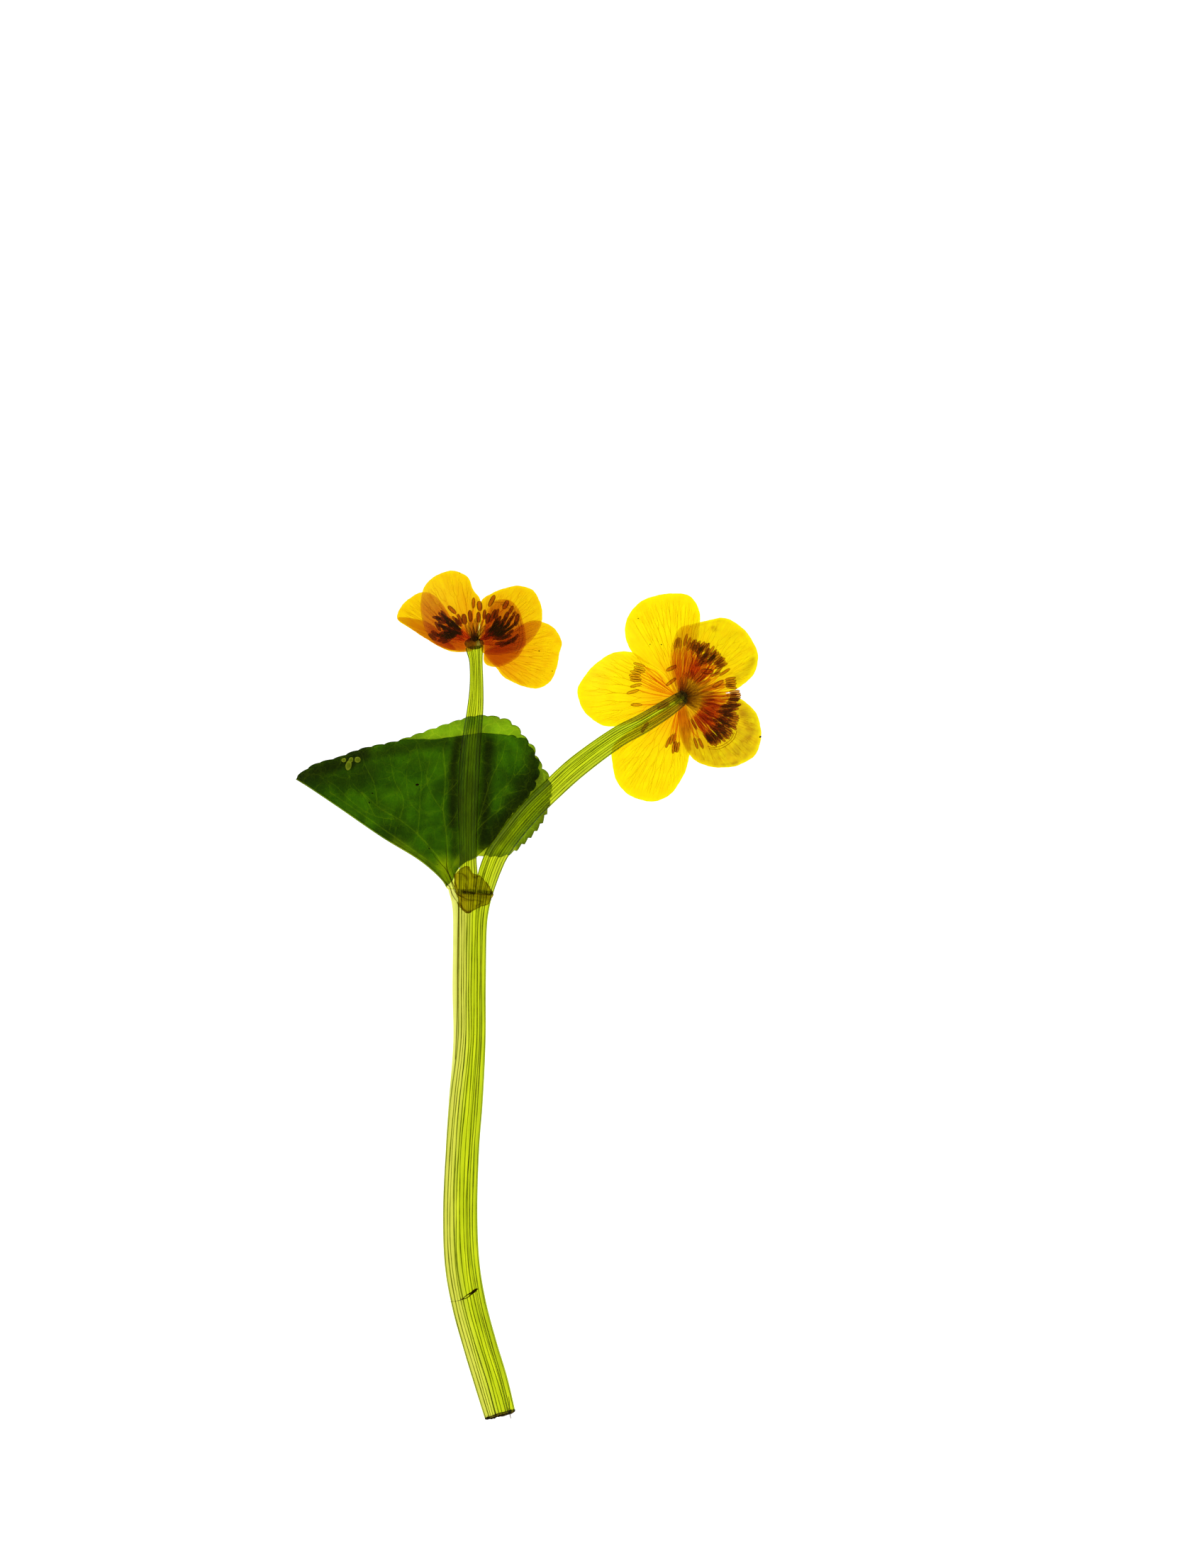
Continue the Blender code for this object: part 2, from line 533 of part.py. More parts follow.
def leaf_blade(finish, parent):
    """Two halves of one blade, joined by the bend that carries the back one over to the front."""
    bm = bmesh.new()
    fold = Curve(LEAF_FOLD, closed=False)
    back = leaf_half(bm, fold, Curve(LEAF_BACK_MARGIN, closed=False), front=False)
    front = leaf_half(bm, fold, Curve(LEAF_FRONT_MARGIN, closed=False), front=True)
    front_rim = [face for face in bm.faces if front.issuperset(face.verts)]
    strip = [face for face in bm.faces if back.issuperset(face.verts)]
    bmesh.ops.delete(bm, geom=front_rim, context="FACES")
    outward = Vector((LEAF_FOLD_DIRECTION[1], -LEAF_FOLD_DIRECTION[0], 0.0))
    step = math.pi / LEAF_BEND_ROWS
    pivots = {vert: Vector((vert.co.x, vert.co.y,
                            LEAF_BED + LEAF_FOLD_RADIUS + leaf_lift(vert.co.x)))
              for vert in back}
    for _ in range(LEAF_BEND_ROWS):
        grown = bmesh.ops.extrude_face_region(bm, geom=strip)["geom"]
        bmesh.ops.delete(bm, geom=strip, context="FACES")
        strip = [item for item in grown if isinstance(item, bmesh.types.BMFace)]
        fresh = {}
        for vert in grown:
            if isinstance(vert, bmesh.types.BMVert):
                older = next(edge.other_vert(vert) for edge in vert.link_edges
                             if edge.other_vert(vert) in pivots)
                fresh[vert] = pivots[older]
        for vert, pivot in fresh.items():
            arm = vert.co - pivot
            out = arm.dot(outward)
            vert.co = (pivot + outward * (out * math.cos(step) - arm.z * math.sin(step))
                       + Vector((0.0, 0.0, arm.z * math.cos(step) + out * math.sin(step))))
        pivots = fresh
    bmesh.ops.delete(bm, geom=strip, context="FACES")
    return piece("leaf", bm, finish, parent)


# Surfaces that the thin pieces follow

def right_dome(x, y):
    """Underside of the right flower's lowest sepals, from the flower's centre."""
    reach = (((x - RIGHT_DOME_MIDDLE_X) / RIGHT_DOME_REACH[0]) ** 2
             + (y / RIGHT_DOME_REACH[1]) ** 2)
    wave = WAVE_HEIGHT * math.sin(x / WAVE_LENGTH) * math.cos(y / WAVE_LENGTH)
    dome = RIGHT_DOME_HEIGHT * (1 - reach ** RIGHT_DOME_FLATNESS)
    return max(FLOOR_GAP, FLOOR_GAP + dome + wave)


def left_bed(x, y):
    """Underside of the sepals below the left flower's heart, from the flower's centre."""
    return FLOOR_GAP + LEFT_BED_RISE * math.exp(-(math.hypot(x, y) / LEFT_BED_RISE_REACH) ** 2)


def left_arch(x, y):
    """Underside of the sepals above the left flower's heart, from the flower's centre."""
    wave = WAVE_HEIGHT * math.sin(x / WAVE_LENGTH) * math.cos(y / WAVE_LENGTH)
    return (LEFT_ARCH_EDGE + wave
            + LEFT_ARCH_HEIGHT * (1 - (math.hypot(x, y) / LEFT_ARCH_REACH) ** 2))


def sheath_height(x, y):
    """Underside of the sheath, just clear of the fork below it."""
    climb = SHEATH_CLIMB * max(0.0, y - SHEATH_CLIMB_FROM_Y)
    side = abs(x - SHEATH_RIDGE_X) / SHEATH_HALF_WIDTH
    return SHEATH_BED + climb - SHEATH_DROOP * side ** 2.5


def duckweed_height(x, y):
    """Underside of the duckweed, just clear of the leaf below it."""
    centre_x, centre_y = DUCKWEED_CENTRE
    return (leaf_front_height(centre_x + x, centre_y + y) + LEAF_THICKNESS / 2
            + DUCKWEED_GAP)


def raised(surface, layer):
    """A surface lifted by a number of sepal layers."""
    return lambda x, y: surface(x, y) + layer * SEPAL_LAYER_STEP


# The plant, put together

plant = empty("marsh_marigold", *PLANT_SHIFT)
stem_green = material("stem_green", STEM_COLOUR, SATIN)

stem("main_stem", MAIN_STEM_ROUTE, MAIN_STEM_STATIONS, MAIN_STEM_SIDES, MAIN_STEM_RIB,
     stem_green, plant)
stem("stalk_left", LEFT_STALK_ROUTE, STALK_STATIONS, STALK_SIDES, STALK_RIB, stem_green, plant)
stem("stalk_right", RIGHT_STALK_ROUTE, STALK_STATIONS, STALK_SIDES, STALK_RIB, stem_green,
     plant)

leaf_blade(material("leaf_green", LEAF_COLOUR, SATIN), plant)

sheet("leaf_sheath", SHEATH_OUTLINE, sheath_height, SHEATH_THICKNESS, SHEATH_CELLS,
      material("dry_sheath", SHEATH_COLOUR, DULL), plant)

duckweed_guide = empty("duckweed_place", *DUCKWEED_CENTRE, plant)
sheet("duckweed", DUCKWEED_OUTLINE, duckweed_height, DUCKWEED_THICKNESS, DUCKWEED_CELLS,
      material("duckweed_green", DUCKWEED_COLOUR, SATIN), duckweed_guide)

right_flower = empty("right_flower", *RIGHT_FLOWER_CENTRE, plant)
right_yellow = material("right_sepal_yellow", RIGHT_SEPAL_COLOUR, SATIN)
for number, (layer, outline) in enumerate(RIGHT_SEPALS, start=1):
    sheet(f"right_sepal_{number}", outline, raised(right_dome, layer), SEPAL_THICKNESS,
          SEPAL_CELLS, right_yellow, right_flower)
flower_heart("right_flower_heart", RIGHT_HEART_RINGS, RIGHT_STAMENS, RIGHT_STAMEN_BANDS,
             RIGHT_ANTHER_HEIGHTS, RIGHT_CARPEL_REACH, RIGHT_CARPEL_BAND,
             RIGHT_CARPEL_TIP_HEIGHT, right_flower)

left_flower = empty("left_flower", *LEFT_FLOWER_CENTRE, plant)
left_yellow = material("left_sepal_yellow", LEFT_SEPAL_COLOUR, SATIN)
for number, (over, layer, outline) in enumerate(LEFT_SEPALS, start=1):
    sheet(f"left_sepal_{number}", outline, raised(left_arch if over else left_bed, layer),
          SEPAL_THICKNESS, SEPAL_CELLS, left_yellow, left_flower)
flower_heart("left_flower_heart", LEFT_HEART_RINGS, LEFT_STAMENS, LEFT_STAMEN_BANDS,
             LEFT_ANTHER_HEIGHTS, LEFT_CARPEL_REACH, LEFT_CARPEL_BAND,
             LEFT_CARPEL_TIP_HEIGHT, left_flower)
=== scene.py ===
"""Marsh marigold cutting, lightly pressed and see-through, lying on a light table.

The file follows the plant from its cut end upwards: main stem, flower stalks, leaf, sheath,
duckweed, right flower and left flower. Places and sizes are in millimetres, from the middle of
the plant's outline, and each flower's own parts are measured from that flower's centre.
"""
import math
import random

import bmesh
import bpy
from mathutils import Euler, Matrix, Vector


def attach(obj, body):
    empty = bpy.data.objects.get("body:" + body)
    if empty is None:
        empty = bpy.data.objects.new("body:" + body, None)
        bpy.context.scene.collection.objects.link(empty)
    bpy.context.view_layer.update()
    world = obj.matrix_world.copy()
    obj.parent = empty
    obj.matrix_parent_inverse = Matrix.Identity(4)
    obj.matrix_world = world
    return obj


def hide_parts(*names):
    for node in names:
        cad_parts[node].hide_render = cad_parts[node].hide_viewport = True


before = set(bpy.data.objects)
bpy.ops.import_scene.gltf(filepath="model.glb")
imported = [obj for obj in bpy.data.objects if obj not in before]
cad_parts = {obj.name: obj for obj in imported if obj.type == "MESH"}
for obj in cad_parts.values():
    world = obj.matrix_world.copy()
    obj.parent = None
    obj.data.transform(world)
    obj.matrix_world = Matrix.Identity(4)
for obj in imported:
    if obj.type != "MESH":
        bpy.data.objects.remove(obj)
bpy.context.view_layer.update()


# Light table, lamps and camera
#
# The plant lies on a plain pale table that glows evenly from below, as a light table does, so
# most of what shows is light that has come through the tissue. Two dim soft lamps above model
# the upper sides. The camera looks straight down.

MM = 0.001
TABLE_GLOW = 1.3
TABLE_DROP = 0.1
VIEW_MIDDLE = (11.92, 42.27, 2.0)
VIEW_LONG_SIDE = 314.1
LENS = 85.0
SENSOR = 36.0


def new_object(name, data):
    """Link an object that holds this data."""
    made = bpy.data.objects.new(name, data)
    bpy.context.scene.collection.objects.link(made)
    return made


class Graph:
    """Adds shader nodes to a material or a group. A value may be a number or another socket."""

    def __init__(self, tree):
        self.tree = tree

    def add(self, kind, inputs=None, **settings):
        made = self.tree.nodes.new(kind)
        for setting, value in settings.items():
            setattr(made, setting, value)
        for socket, value in (inputs or {}).items():
            self.feed(made.inputs[socket], value)
        return made

    def feed(self, socket, value):
        if isinstance(value, bpy.types.NodeSocket):
            self.tree.links.new(value, socket)
        else:
            socket.default_value = value

    def math(self, operation, *values, clamp=False):
        made = self.add("ShaderNodeMath", dict(enumerate(values)), operation=operation,
                        use_clamp=clamp)
        return made.outputs[0]

    def blend(self, factor, first, second, how="MIX"):
        made = self.add("ShaderNodeMix", data_type="RGBA", blend_type=how)
        for index, value in zip((0, 6, 7), (factor, first, second)):
            self.feed(made.inputs[index], value)
        return made.outputs[2]

    def between(self, value, low, high):
        """0 below low, 1 above high, and smooth between them."""
        made = self.add("ShaderNodeMapRange", {0: value, 1: low, 2: high},
                        interpolation_type="SMOOTHSTEP")
        return made.outputs[0]

    def mark(self, name):
        """A number that the mesh carries at each point."""
        return self.add("ShaderNodeAttribute", attribute_name=name).outputs["Fac"]

    def noise(self, vector, scale, detail=2.0):
        made = self.add("ShaderNodeTexNoise",
                        {"Vector": vector, "Scale": scale, "Detail": detail})
        return made.outputs["Fac"]


def lamp(name, place, size, power):
    """A soft square lamp that points at the plant."""
    light = bpy.data.lights.new(name, "AREA")
    light.size = size
    light.energy = power
    made = new_object(name, light)
    made.location = place
    made.rotation_euler = (-Vector(place)).to_track_quat("-Z", "Y").to_euler()


table_finish = bpy.data.materials.new("light_table")
table_finish.use_nodes = True
table_shader = table_finish.node_tree.nodes["Principled BSDF"]
table_shader.inputs["Base Color"].default_value = (0.12, 0.12, 0.12, 1.0)
table_shader.inputs["Roughness"].default_value = 0.8
table_shader.inputs["Specular IOR Level"].default_value = 0.1
table_shader.inputs["Emission Color"].default_value = (1.0, 1.0, 1.0, 1.0)
table_shader.inputs["Emission Strength"].default_value = TABLE_GLOW

table_bm = bmesh.new()
bmesh.ops.create_grid(table_bm, size=3.0)
bmesh.ops.translate(table_bm, vec=(0.0, 0.0, -TABLE_DROP * MM), verts=table_bm.verts[:])
table_mesh = bpy.data.meshes.new("light_table")
table_bm.to_mesh(table_mesh)
table_bm.free()
table_mesh.materials.append(table_finish)
new_object("light_table", table_mesh)

lamp("lamp_left", (-0.7, 0.5, 0.9), 0.6, 2.0)
lamp("lamp_right", (0.8, -0.3, 0.8), 0.7, 1.2)

world = bpy.data.worlds.new("pale_room")
world.use_nodes = True
bpy.context.scene.world = world
room = Graph(world.node_tree)
seen = room.add("ShaderNodeLightPath").outputs["Is Camera Ray"]
glow = room.math("ADD", room.math("MULTIPLY", seen, 0.8), 0.2)
room.feed(world.node_tree.nodes["Background"].inputs["Strength"], glow)
room.feed(world.node_tree.nodes["Background"].inputs["Color"], (1.0, 1.0, 1.0, 1.0))

camera = new_object("camera", bpy.data.cameras.new("camera"))
camera.data.lens = LENS
camera.data.sensor_width = SENSOR
camera.data.clip_end = 10.0
camera_height = VIEW_MIDDLE[2] + VIEW_LONG_SIDE * LENS / SENSOR
camera.location = (VIEW_MIDDLE[0] * MM, VIEW_MIDDLE[1] * MM, camera_height * MM)
scene = bpy.context.scene
scene.camera = camera
scene.view_settings.view_transform = "Standard"
scene.cycles.max_bounces = 64
scene.cycles.transmission_bounces = 64
scene.cycles.transparent_max_bounces = 64


# Main stem
#
# A soft, ribbed, hollow stem that pressing has flattened. Dark strands run along both of its
# walls, a pale wing runs down its left edge from the leaf base, and its cut end has browned.
# Shade is painted along both sides of the stem and of the stalks.

PLANT_SHIFT = (0.06, 0.03)
STEM_GREEN = (0.50, 0.62, 0.008, 1.0)
STEM_BRIGHT = (0.74, 0.83, 0.012, 1.0)
STEM_SHADE = (0.25, 0.33, 0.003, 1.0)
STEM_CREAM = (0.72, 0.71, 0.10, 1.0)
WING_CREAM = (0.74, 0.76, 0.16, 1.0)
CUT_BROWN = (0.06, 0.025, 0.003, 1.0)
SQUARENESS = 0.83

MAIN_STEM_ROUTE = (
    # x, y, height of the centre, width, thickness, width of the wing
    (-10.9, 20.9, 1.5, 7.0, 3.1, 1.9),
    (-11.0, 19.2, 1.5, 6.7, 3.1, 1.5),
    (-11.15, 17.3, 1.5, 6.2, 3.1, 1.2),
    (-11.3, 14.8, 1.5, 5.8, 3.1, 1.1),
    (-11.4, 10.5, 1.5, 5.6, 3.1, 1.1),
    (-11.5, 1.0, 1.5, 5.6, 3.1, 1.1),
    (-11.6, -9.5, 1.5, 5.7, 3.1, 0.8),
    (-12.6, -21.0, 1.5, 6.6, 3.1, 0.2),
    (-13.4, -31.0, 1.5, 6.7, 3.1, 0.0),
    (-13.85, -43.0, 1.5, 6.9, 3.1, 0.0),
    (-13.5, -53.5, 1.5, 7.0, 3.1, 0.0),
    (-12.1, -62.0, 1.5, 6.9, 3.1, 0.0),
    (-9.9, -70.2, 1.5, 6.8, 3.1, 0.0),
    (-7.7, -77.5, 1.5, 6.8, 3.1, 0.0),
    (-5.85, -84.25, 1.5, 6.3, 3.1, 0.0),
)
# Ribs: places across the stem from -1 to 1 where its wall is grooved
MAIN_RIBS = (-0.88, -0.68, -0.46, -0.24, -0.02, 0.20, 0.42, 0.64, 0.86)


def tissue_group():
    """What all the plant's tissue shares: cloudy thickness, fine cells and a few dark specks."""
    group = bpy.data.node_groups.new("plant_tissue", "ShaderNodeTree")
    for name, kind, value in (("Color", "NodeSocketColor", (1, 1, 1, 1)),
                              ("Shade", "NodeSocketColor", (0, 0, 0, 1)),
                              ("Cloud Size", "NodeSocketFloat", 4.0),
                              ("Cloud", "NodeSocketFloat", 0.4),
                              ("Grain Size", "NodeSocketFloat", 0.2),
                              ("Grain", "NodeSocketFloat", 0.1),
                              ("Specks", "NodeSocketFloat", 0.3)):
        socket = group.interface.new_socket(name, in_out="INPUT", socket_type=kind)
        socket.default_value = value
    group.interface.new_socket("Color", in_out="OUTPUT", socket_type="NodeSocketColor")
    group.interface.new_socket("Height", in_out="OUTPUT", socket_type="NodeSocketFloat")
    graph = Graph(group)
    given = graph.add("NodeGroupInput").outputs
    place = graph.add("ShaderNodeVectorMath", {0: graph.add("ShaderNodeTexCoord").outputs["Object"],
                                               1: (1000.0, 1000.0, 1000.0)},
                      operation="MULTIPLY").outputs[0]
    cloud = graph.noise(place, graph.math("DIVIDE", 1.0, given["Cloud Size"]), 4.0)
    cloud = graph.math("MULTIPLY", graph.between(cloud, 0.38, 0.68), given["Cloud"])
    grain = graph.noise(place, graph.math("DIVIDE", 1.0, given["Grain Size"]), 1.0)
    dots = graph.add("ShaderNodeTexVoronoi", {"Vector": place, "Scale": 0.28})
    chosen = graph.between(graph.add("ShaderNodeSeparateColor",
                                     {0: dots.outputs["Color"]}).outputs[0], 0.80, 0.82)
    dot = graph.math("MULTIPLY", graph.between(dots.outputs["Distance"], 0.045, 0.02), chosen)
    colour = graph.blend(cloud, given["Color"], given["Shade"])
    dim = graph.math("SUBTRACT", 1.0, graph.math("MULTIPLY", given["Grain"], grain))
    dim = graph.math("MULTIPLY", dim, graph.math("SUBTRACT", 1.0, graph.math(
        "MULTIPLY", dot, given["Specks"])))
    colour = graph.add("ShaderNodeVectorMath", {0: colour, "Scale": dim},
                       operation="SCALE").outputs[0]
    finish = graph.add("NodeGroupOutput")
    graph.feed(finish.inputs["Color"], colour)
    graph.feed(finish.inputs["Height"], graph.math("ADD", grain, cloud))
    return group


plant_tissue = tissue_group()


def see_through(name, paint, light=0.9, roughness=0.35, bump=0.15, gloss=0.0, **tissue):
    """Thin plant tissue that tints the light coming through it.

    paint takes the material's graph and gives the colour of light that has come through, and a
    second colour for its clouds. gloss is the moist shine of the surface.
    """
    finish = bpy.data.materials.new(name)
    finish.use_nodes = True
    graph = Graph(finish.node_tree)
    group = graph.add("ShaderNodeGroup", node_tree=plant_tissue)
    colour, shade = paint(graph)
    graph.feed(group.inputs["Color"], colour)
    graph.feed(group.inputs["Shade"], shade)
    for socket, value in tissue.items():
        graph.feed(group.inputs[socket.replace("_", " ").title()], value)
    shader = finish.node_tree.nodes["Principled BSDF"]
    graph.feed(shader.inputs["Base Color"], group.outputs["Color"])
    graph.feed(shader.inputs["Normal"], graph.add(
        "ShaderNodeBump", {"Height": group.outputs["Height"], "Strength": bump,
                           "Distance": 0.03 * MM}).outputs[0])
    shader.inputs["Roughness"].default_value = roughness
    shader.inputs["IOR"].default_value = 1.015
    shader.inputs["Coat Weight"].default_value = gloss
    shader.inputs["Coat Roughness"].default_value = 0.35
    shader.inputs["Transmission Weight"].default_value = light
    return finish


def place(name, bm, finish, nodes, slot, origin=(0.0, 0.0)):
    """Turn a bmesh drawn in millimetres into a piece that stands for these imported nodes."""
    shift = (origin[0] + PLANT_SHIFT[0], origin[1] + PLANT_SHIFT[1], 0.0)
    bmesh.ops.translate(bm, vec=shift, verts=bm.verts[:])
    bmesh.ops.scale(bm, vec=(MM, MM, MM), verts=bm.verts[:])
    mesh = bpy.data.meshes.new(name)
    bm.to_mesh(mesh)
    bm.free()
    mesh.shade_smooth()
    mesh.materials.append(finish)
    piece = new_object(name, mesh)
    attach(piece, "root")
    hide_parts(*nodes)
    return piece


class Route:
    """A smooth curve through given rows, read by the fraction of its length."""

    steps = 12

    def __init__(self, points, closed=False):
        count = len(points)
        self.dense = []
        for span in range(count if closed else count - 1):
            near = [span - 1, span, span + 1, span + 2]
            near = [i % count if closed else min(max(i, 0), count - 1) for i in near]
            corners = [points[i] for i in near]
            self.dense += [self.between(corners, step / self.steps)
                           for step in range(self.steps)]
        self.dense.append(tuple(points[0] if closed else points[-1]))
        self.reach = [0.0]
        for here, there in zip(self.dense, self.dense[1:]):
            self.reach.append(self.reach[-1] + math.dist(here[:2], there[:2]))

    @staticmethod
    def between(corners, t):
        return tuple(0.5 * (2 * b + (c - a) * t + (2 * a - 5 * b + 4 * c - d) * t ** 2
                            + (3 * b - a - 3 * c + d) * t ** 3)
                     for a, b, c, d in zip(*corners))

    def rows(self, count):
        """This many rows, evenly spaced along the curve."""
        found = []
        index = 0
        for number in range(count):
            goal = self.reach[-1] * number / (count - 1)
            while index < len(self.reach) - 2 and self.reach[index + 1] < goal:
                index += 1
            span = self.reach[index + 1] - self.reach[index]
            t = (goal - self.reach[index]) / span if span > 0 else 0.0
            found.append(tuple(a + (b - a) * t
                               for a, b in zip(self.dense[index], self.dense[index + 1])))
        return found


def wave(value, seed):
    """A slow, uneven swing between about -1 and 1."""
    return (math.sin(value + 2.1 * seed) + 0.6 * math.sin(value * 2.3 + 5.3 * seed)
            + 0.4 * math.sin(value * 4.1 + 1.7 * seed)) / 2


def section(row, across, side):
    """Height of a flattened stem's wall, upper or lower, at a place across it from -1 to 1."""
    lift = (1 - abs(across) ** (2 / SQUARENESS)) ** (SQUARENESS / 2)
    return row[2] + side * lift * row[4] / 2


def ribbed_tube(route, stations, columns, ribs, groove):
    """A flattened tube with shallow grooves. Marks: across, along, wing, edge and cut."""
    path = Route(route)
    rows = path.rows(stations)
    bm = bmesh.new()
    marks = {name: bm.verts.layers.float.new(name)
             for name in ("across", "along", "wing", "edge", "cut")}
    bmesh.ops.create_grid(bm, x_segments=stations - 1, y_segments=columns, size=1.0)
    for vert in bm.verts:
        index = round((vert.co.x + 1) / 2 * (stations - 1))
        column = round((vert.co.y + 1) / 2 * columns) % columns
        row = rows[index]
        x, y, middle, width, thickness = row[:5]
        wing = row[5] if len(row) > 5 else 0.0
        before, after = rows[max(index - 1, 0)], rows[min(index + 1, stations - 1)]
        along = Vector((after[0] - before[0], after[1] - before[1])).normalized()
        length = path.reach[-1] * index / (stations - 1)
        turn = math.tau * column / columns
        across = math.copysign(abs(math.cos(turn)) ** SQUARENESS, math.cos(turn))
        lift = math.copysign(abs(math.sin(turn)) ** SQUARENESS, math.sin(turn))
        dip = sum(math.exp(-((across - rib - 0.02 * wave(length / 9, rib)) / 0.045) ** 2)
                  for rib in ribs)
        side = across * width / 2
        height = lift * thickness / 2 - groove * dip * math.copysign(1, lift)
        flange = max(0.0, 1 - abs(turn - math.pi) / 0.5)
        side -= wing * flange ** 0.9
        height *= 1 - 0.35 * flange * min(wing, 1.0)
        vert[marks["across"]] = across
        vert[marks["along"]] = length
        vert[marks["wing"]] = min(1.0, 1.6 * flange * min(wing / 0.6, 1.0))
        # edge: painted shade along both sides, where the light crosses the wall edge-on.
        vert[marks["edge"]] = abs(across) ** 8
        left = path.reach[-1] - length
        vert[marks["cut"]] = 0.3 * max(0.0, 1 - left / 1.2) ** 2 + max(0.0, 1 - left / 0.3)
        ragged = 0.16 * wave(side * 3.1, 3) * max(0.0, 1 - left / 0.8)
        vert.co = (x - along.y * side + along.x * ragged, y + along.x * side + along.y * ragged,
                   middle + max(height, -thickness / 2 + 0.05))
    bmesh.ops.remove_doubles(bm, verts=bm.verts[:], dist=0.0005)
    ends = bmesh.ops.holes_fill(bm, edges=bm.edges[:], sides=0)["faces"]
    for end in ends:
        bmesh.ops.inset_individual(bm, faces=[end], thickness=0.25, depth=-0.15)
    bmesh.ops.recalc_face_normals(bm, faces=bm.faces[:])
    return bm


def stem_paint(cut_strength, cream):
    """Bright green flesh in fine lengthwise streaks, paler on its left, with painted shade along both
    sides and a browned cut.
    """
    def paint(graph):
        across, along, wing, edge, cut = (
            graph.mark(name) for name in ("across", "along", "wing", "edge", "cut"))
        fine = graph.add("ShaderNodeCombineXYZ", {0: graph.math("MULTIPLY", across, 16.0),
                                                  1: graph.math("MULTIPLY", along, 0.10)})
        broad = graph.add("ShaderNodeCombineXYZ", {0: graph.math("MULTIPLY", across, 3.5),
                                                   1: graph.math("MULTIPLY", along, 0.05)})
        streak = graph.between(graph.noise(fine.outputs[0], 1.0, 2.0), 0.36, 0.66)
        band = graph.between(graph.noise(broad.outputs[0], 1.0, 2.0), 0.3, 0.7)
        colour = graph.blend(streak, STEM_GREEN, STEM_BRIGHT)
        colour = graph.blend(graph.math("MULTIPLY", band, 0.45), colour, STEM_SHADE)
        pale = graph.math("MULTIPLY", graph.between(across, 0.1, -0.9), cream)
        colour = graph.blend(pale, colour, STEM_CREAM)
        # Painted shade: both sides are darkened, where the light crosses the walls edge-on.
        colour = graph.blend(graph.math("MULTIPLY", edge, 0.7), colour, STEM_SHADE)
        colour = graph.blend(wing, colour, WING_CREAM)
        colour = graph.blend(graph.math("MULTIPLY", cut, cut_strength, clamp=True), colour,
                             CUT_BROWN)
        return colour, graph.blend(0.35, colour, STEM_SHADE)
    return paint


stem_flesh = see_through("stem_flesh", stem_paint(1.0, 0.9), light=0.95, gloss=0.15, cloud_size=2.2,
                         cloud=0.3, grain_size=0.22, grain=0.12, specks=0.6)
place("main_stem_flesh", ribbed_tube(MAIN_STEM_ROUTE, 320, 96, MAIN_RIBS, 0.06), stem_flesh,
      ["main_stem"], "stem")


# Bundles of the main stem
#
# The dark vascular bundles that run the length of both walls and show through them. Each
# wanders a little, and a brown one marks the inner edge of the wing.

MAIN_BUNDLES = (
    # side (1 upper wall, -1 lower), place across it at the fork, at the cut end, radius
    (1, -0.96, -0.92, 0.10), (1, -0.75, -0.70, 0.14), (1, -0.60, -0.55, 0.10),
    (1, -0.39, -0.38, 0.11), (1, -0.19, -0.24, 0.13), (1, -0.06, 0.00, 0.14),
    (1, 0.18, 0.19, 0.12), (1, 0.40, 0.39, 0.13), (1, 0.56, 0.58, 0.14),
    (1, 0.69, 0.72, 0.15), (1, 0.93, 0.93, 0.08), (-1, -0.50, -0.30, 0.10),
    (-1, 0.26, 0.50, 0.07),
)
BUNDLE_GREEN = (0.29, 0.34, 0.03, 1.0)
BUNDLE_DARK = (0.16, 0.15, 0.01, 1.0)
BUNDLE_EDGE = (0.96, 0.98, 0.85, 1.0)
WING_LINE_BROWN = (0.30, 0.24, 0.05, 1.0)
WING_LINE = ((-14.4, 18.6, 2.2, 0.17), (-14.15, 17.6, 2.1, 0.18), (-14.25, 12.0, 1.9, 0.18),
             (-14.35, 5.0, 1.8, 0.17), (-14.4, -3.0, 1.8, 0.14), (-14.8, -13.0, 1.8, 0.10))


def strands(name, paths, finish, nodes, origin=(0.0, 0.0), roundness=1):
    """Fine tubes along rows of (x, y, z, radius), fused into one piece."""
    curve = bpy.data.curves.new(name, "CURVE")
    curve.dimensions = "3D"
    curve.bevel_depth = MM
    curve.bevel_resolution = roundness
    curve.use_fill_caps = True
    shift = (origin[0] + PLANT_SHIFT[0], origin[1] + PLANT_SHIFT[1])
    for path in paths:
        spline = curve.splines.new("POLY")
        spline.points.add(len(path) - 1)
        for point, (x, y, z, radius) in zip(spline.points, path):
            point.co = ((x + shift[0]) * MM, (y + shift[1]) * MM, z * MM, 1.0)
            point.radius = radius
    line = new_object(name + "_line", curve)
    evaluated = line.evaluated_get(bpy.context.evaluated_depsgraph_get())
    mesh = bpy.data.meshes.new_from_object(evaluated)
    bpy.data.objects.remove(line)
    mesh.materials.clear()
    mesh.materials.append(finish)
    mesh.shade_smooth()
    piece = new_object(name, mesh)
    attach(piece, "root")
    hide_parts(*nodes)
    return piece


def bundle_paths(route, stations, lines):
    """Where each bundle runs inside the wall of a flattened stem."""
    path = Route(route)
    rows = path.rows(stations)
    found = []
    for number, (side, first, last, radius) in enumerate(lines):
        line = []
        for index, row in enumerate(rows):
            length = path.reach[-1] * index / (stations - 1)
            t = index / (stations - 1)
            across = first + (last - first) * t
            across += 0.055 * (1 - across ** 2) * wave(length / 11.0, number + 7 * radius)
            before, after = rows[max(index - 1, 0)], rows[min(index + 1, stations - 1)]
            along = Vector((after[0] - before[0], after[1] - before[1])).normalized()
            offset = across * row[3] / 2
            line.append((row[0] - along.y * offset, row[1] + along.x * offset,
                         section(row, across, side) - side * (radius + 0.05),
                         radius * (0.9 + 0.35 * wave(length / 4.3, number))))
        found.append(line)
    return found


def plain(colour, shade):
    """Paint of one colour, clouded with another."""
    return lambda graph: (colour, shade)


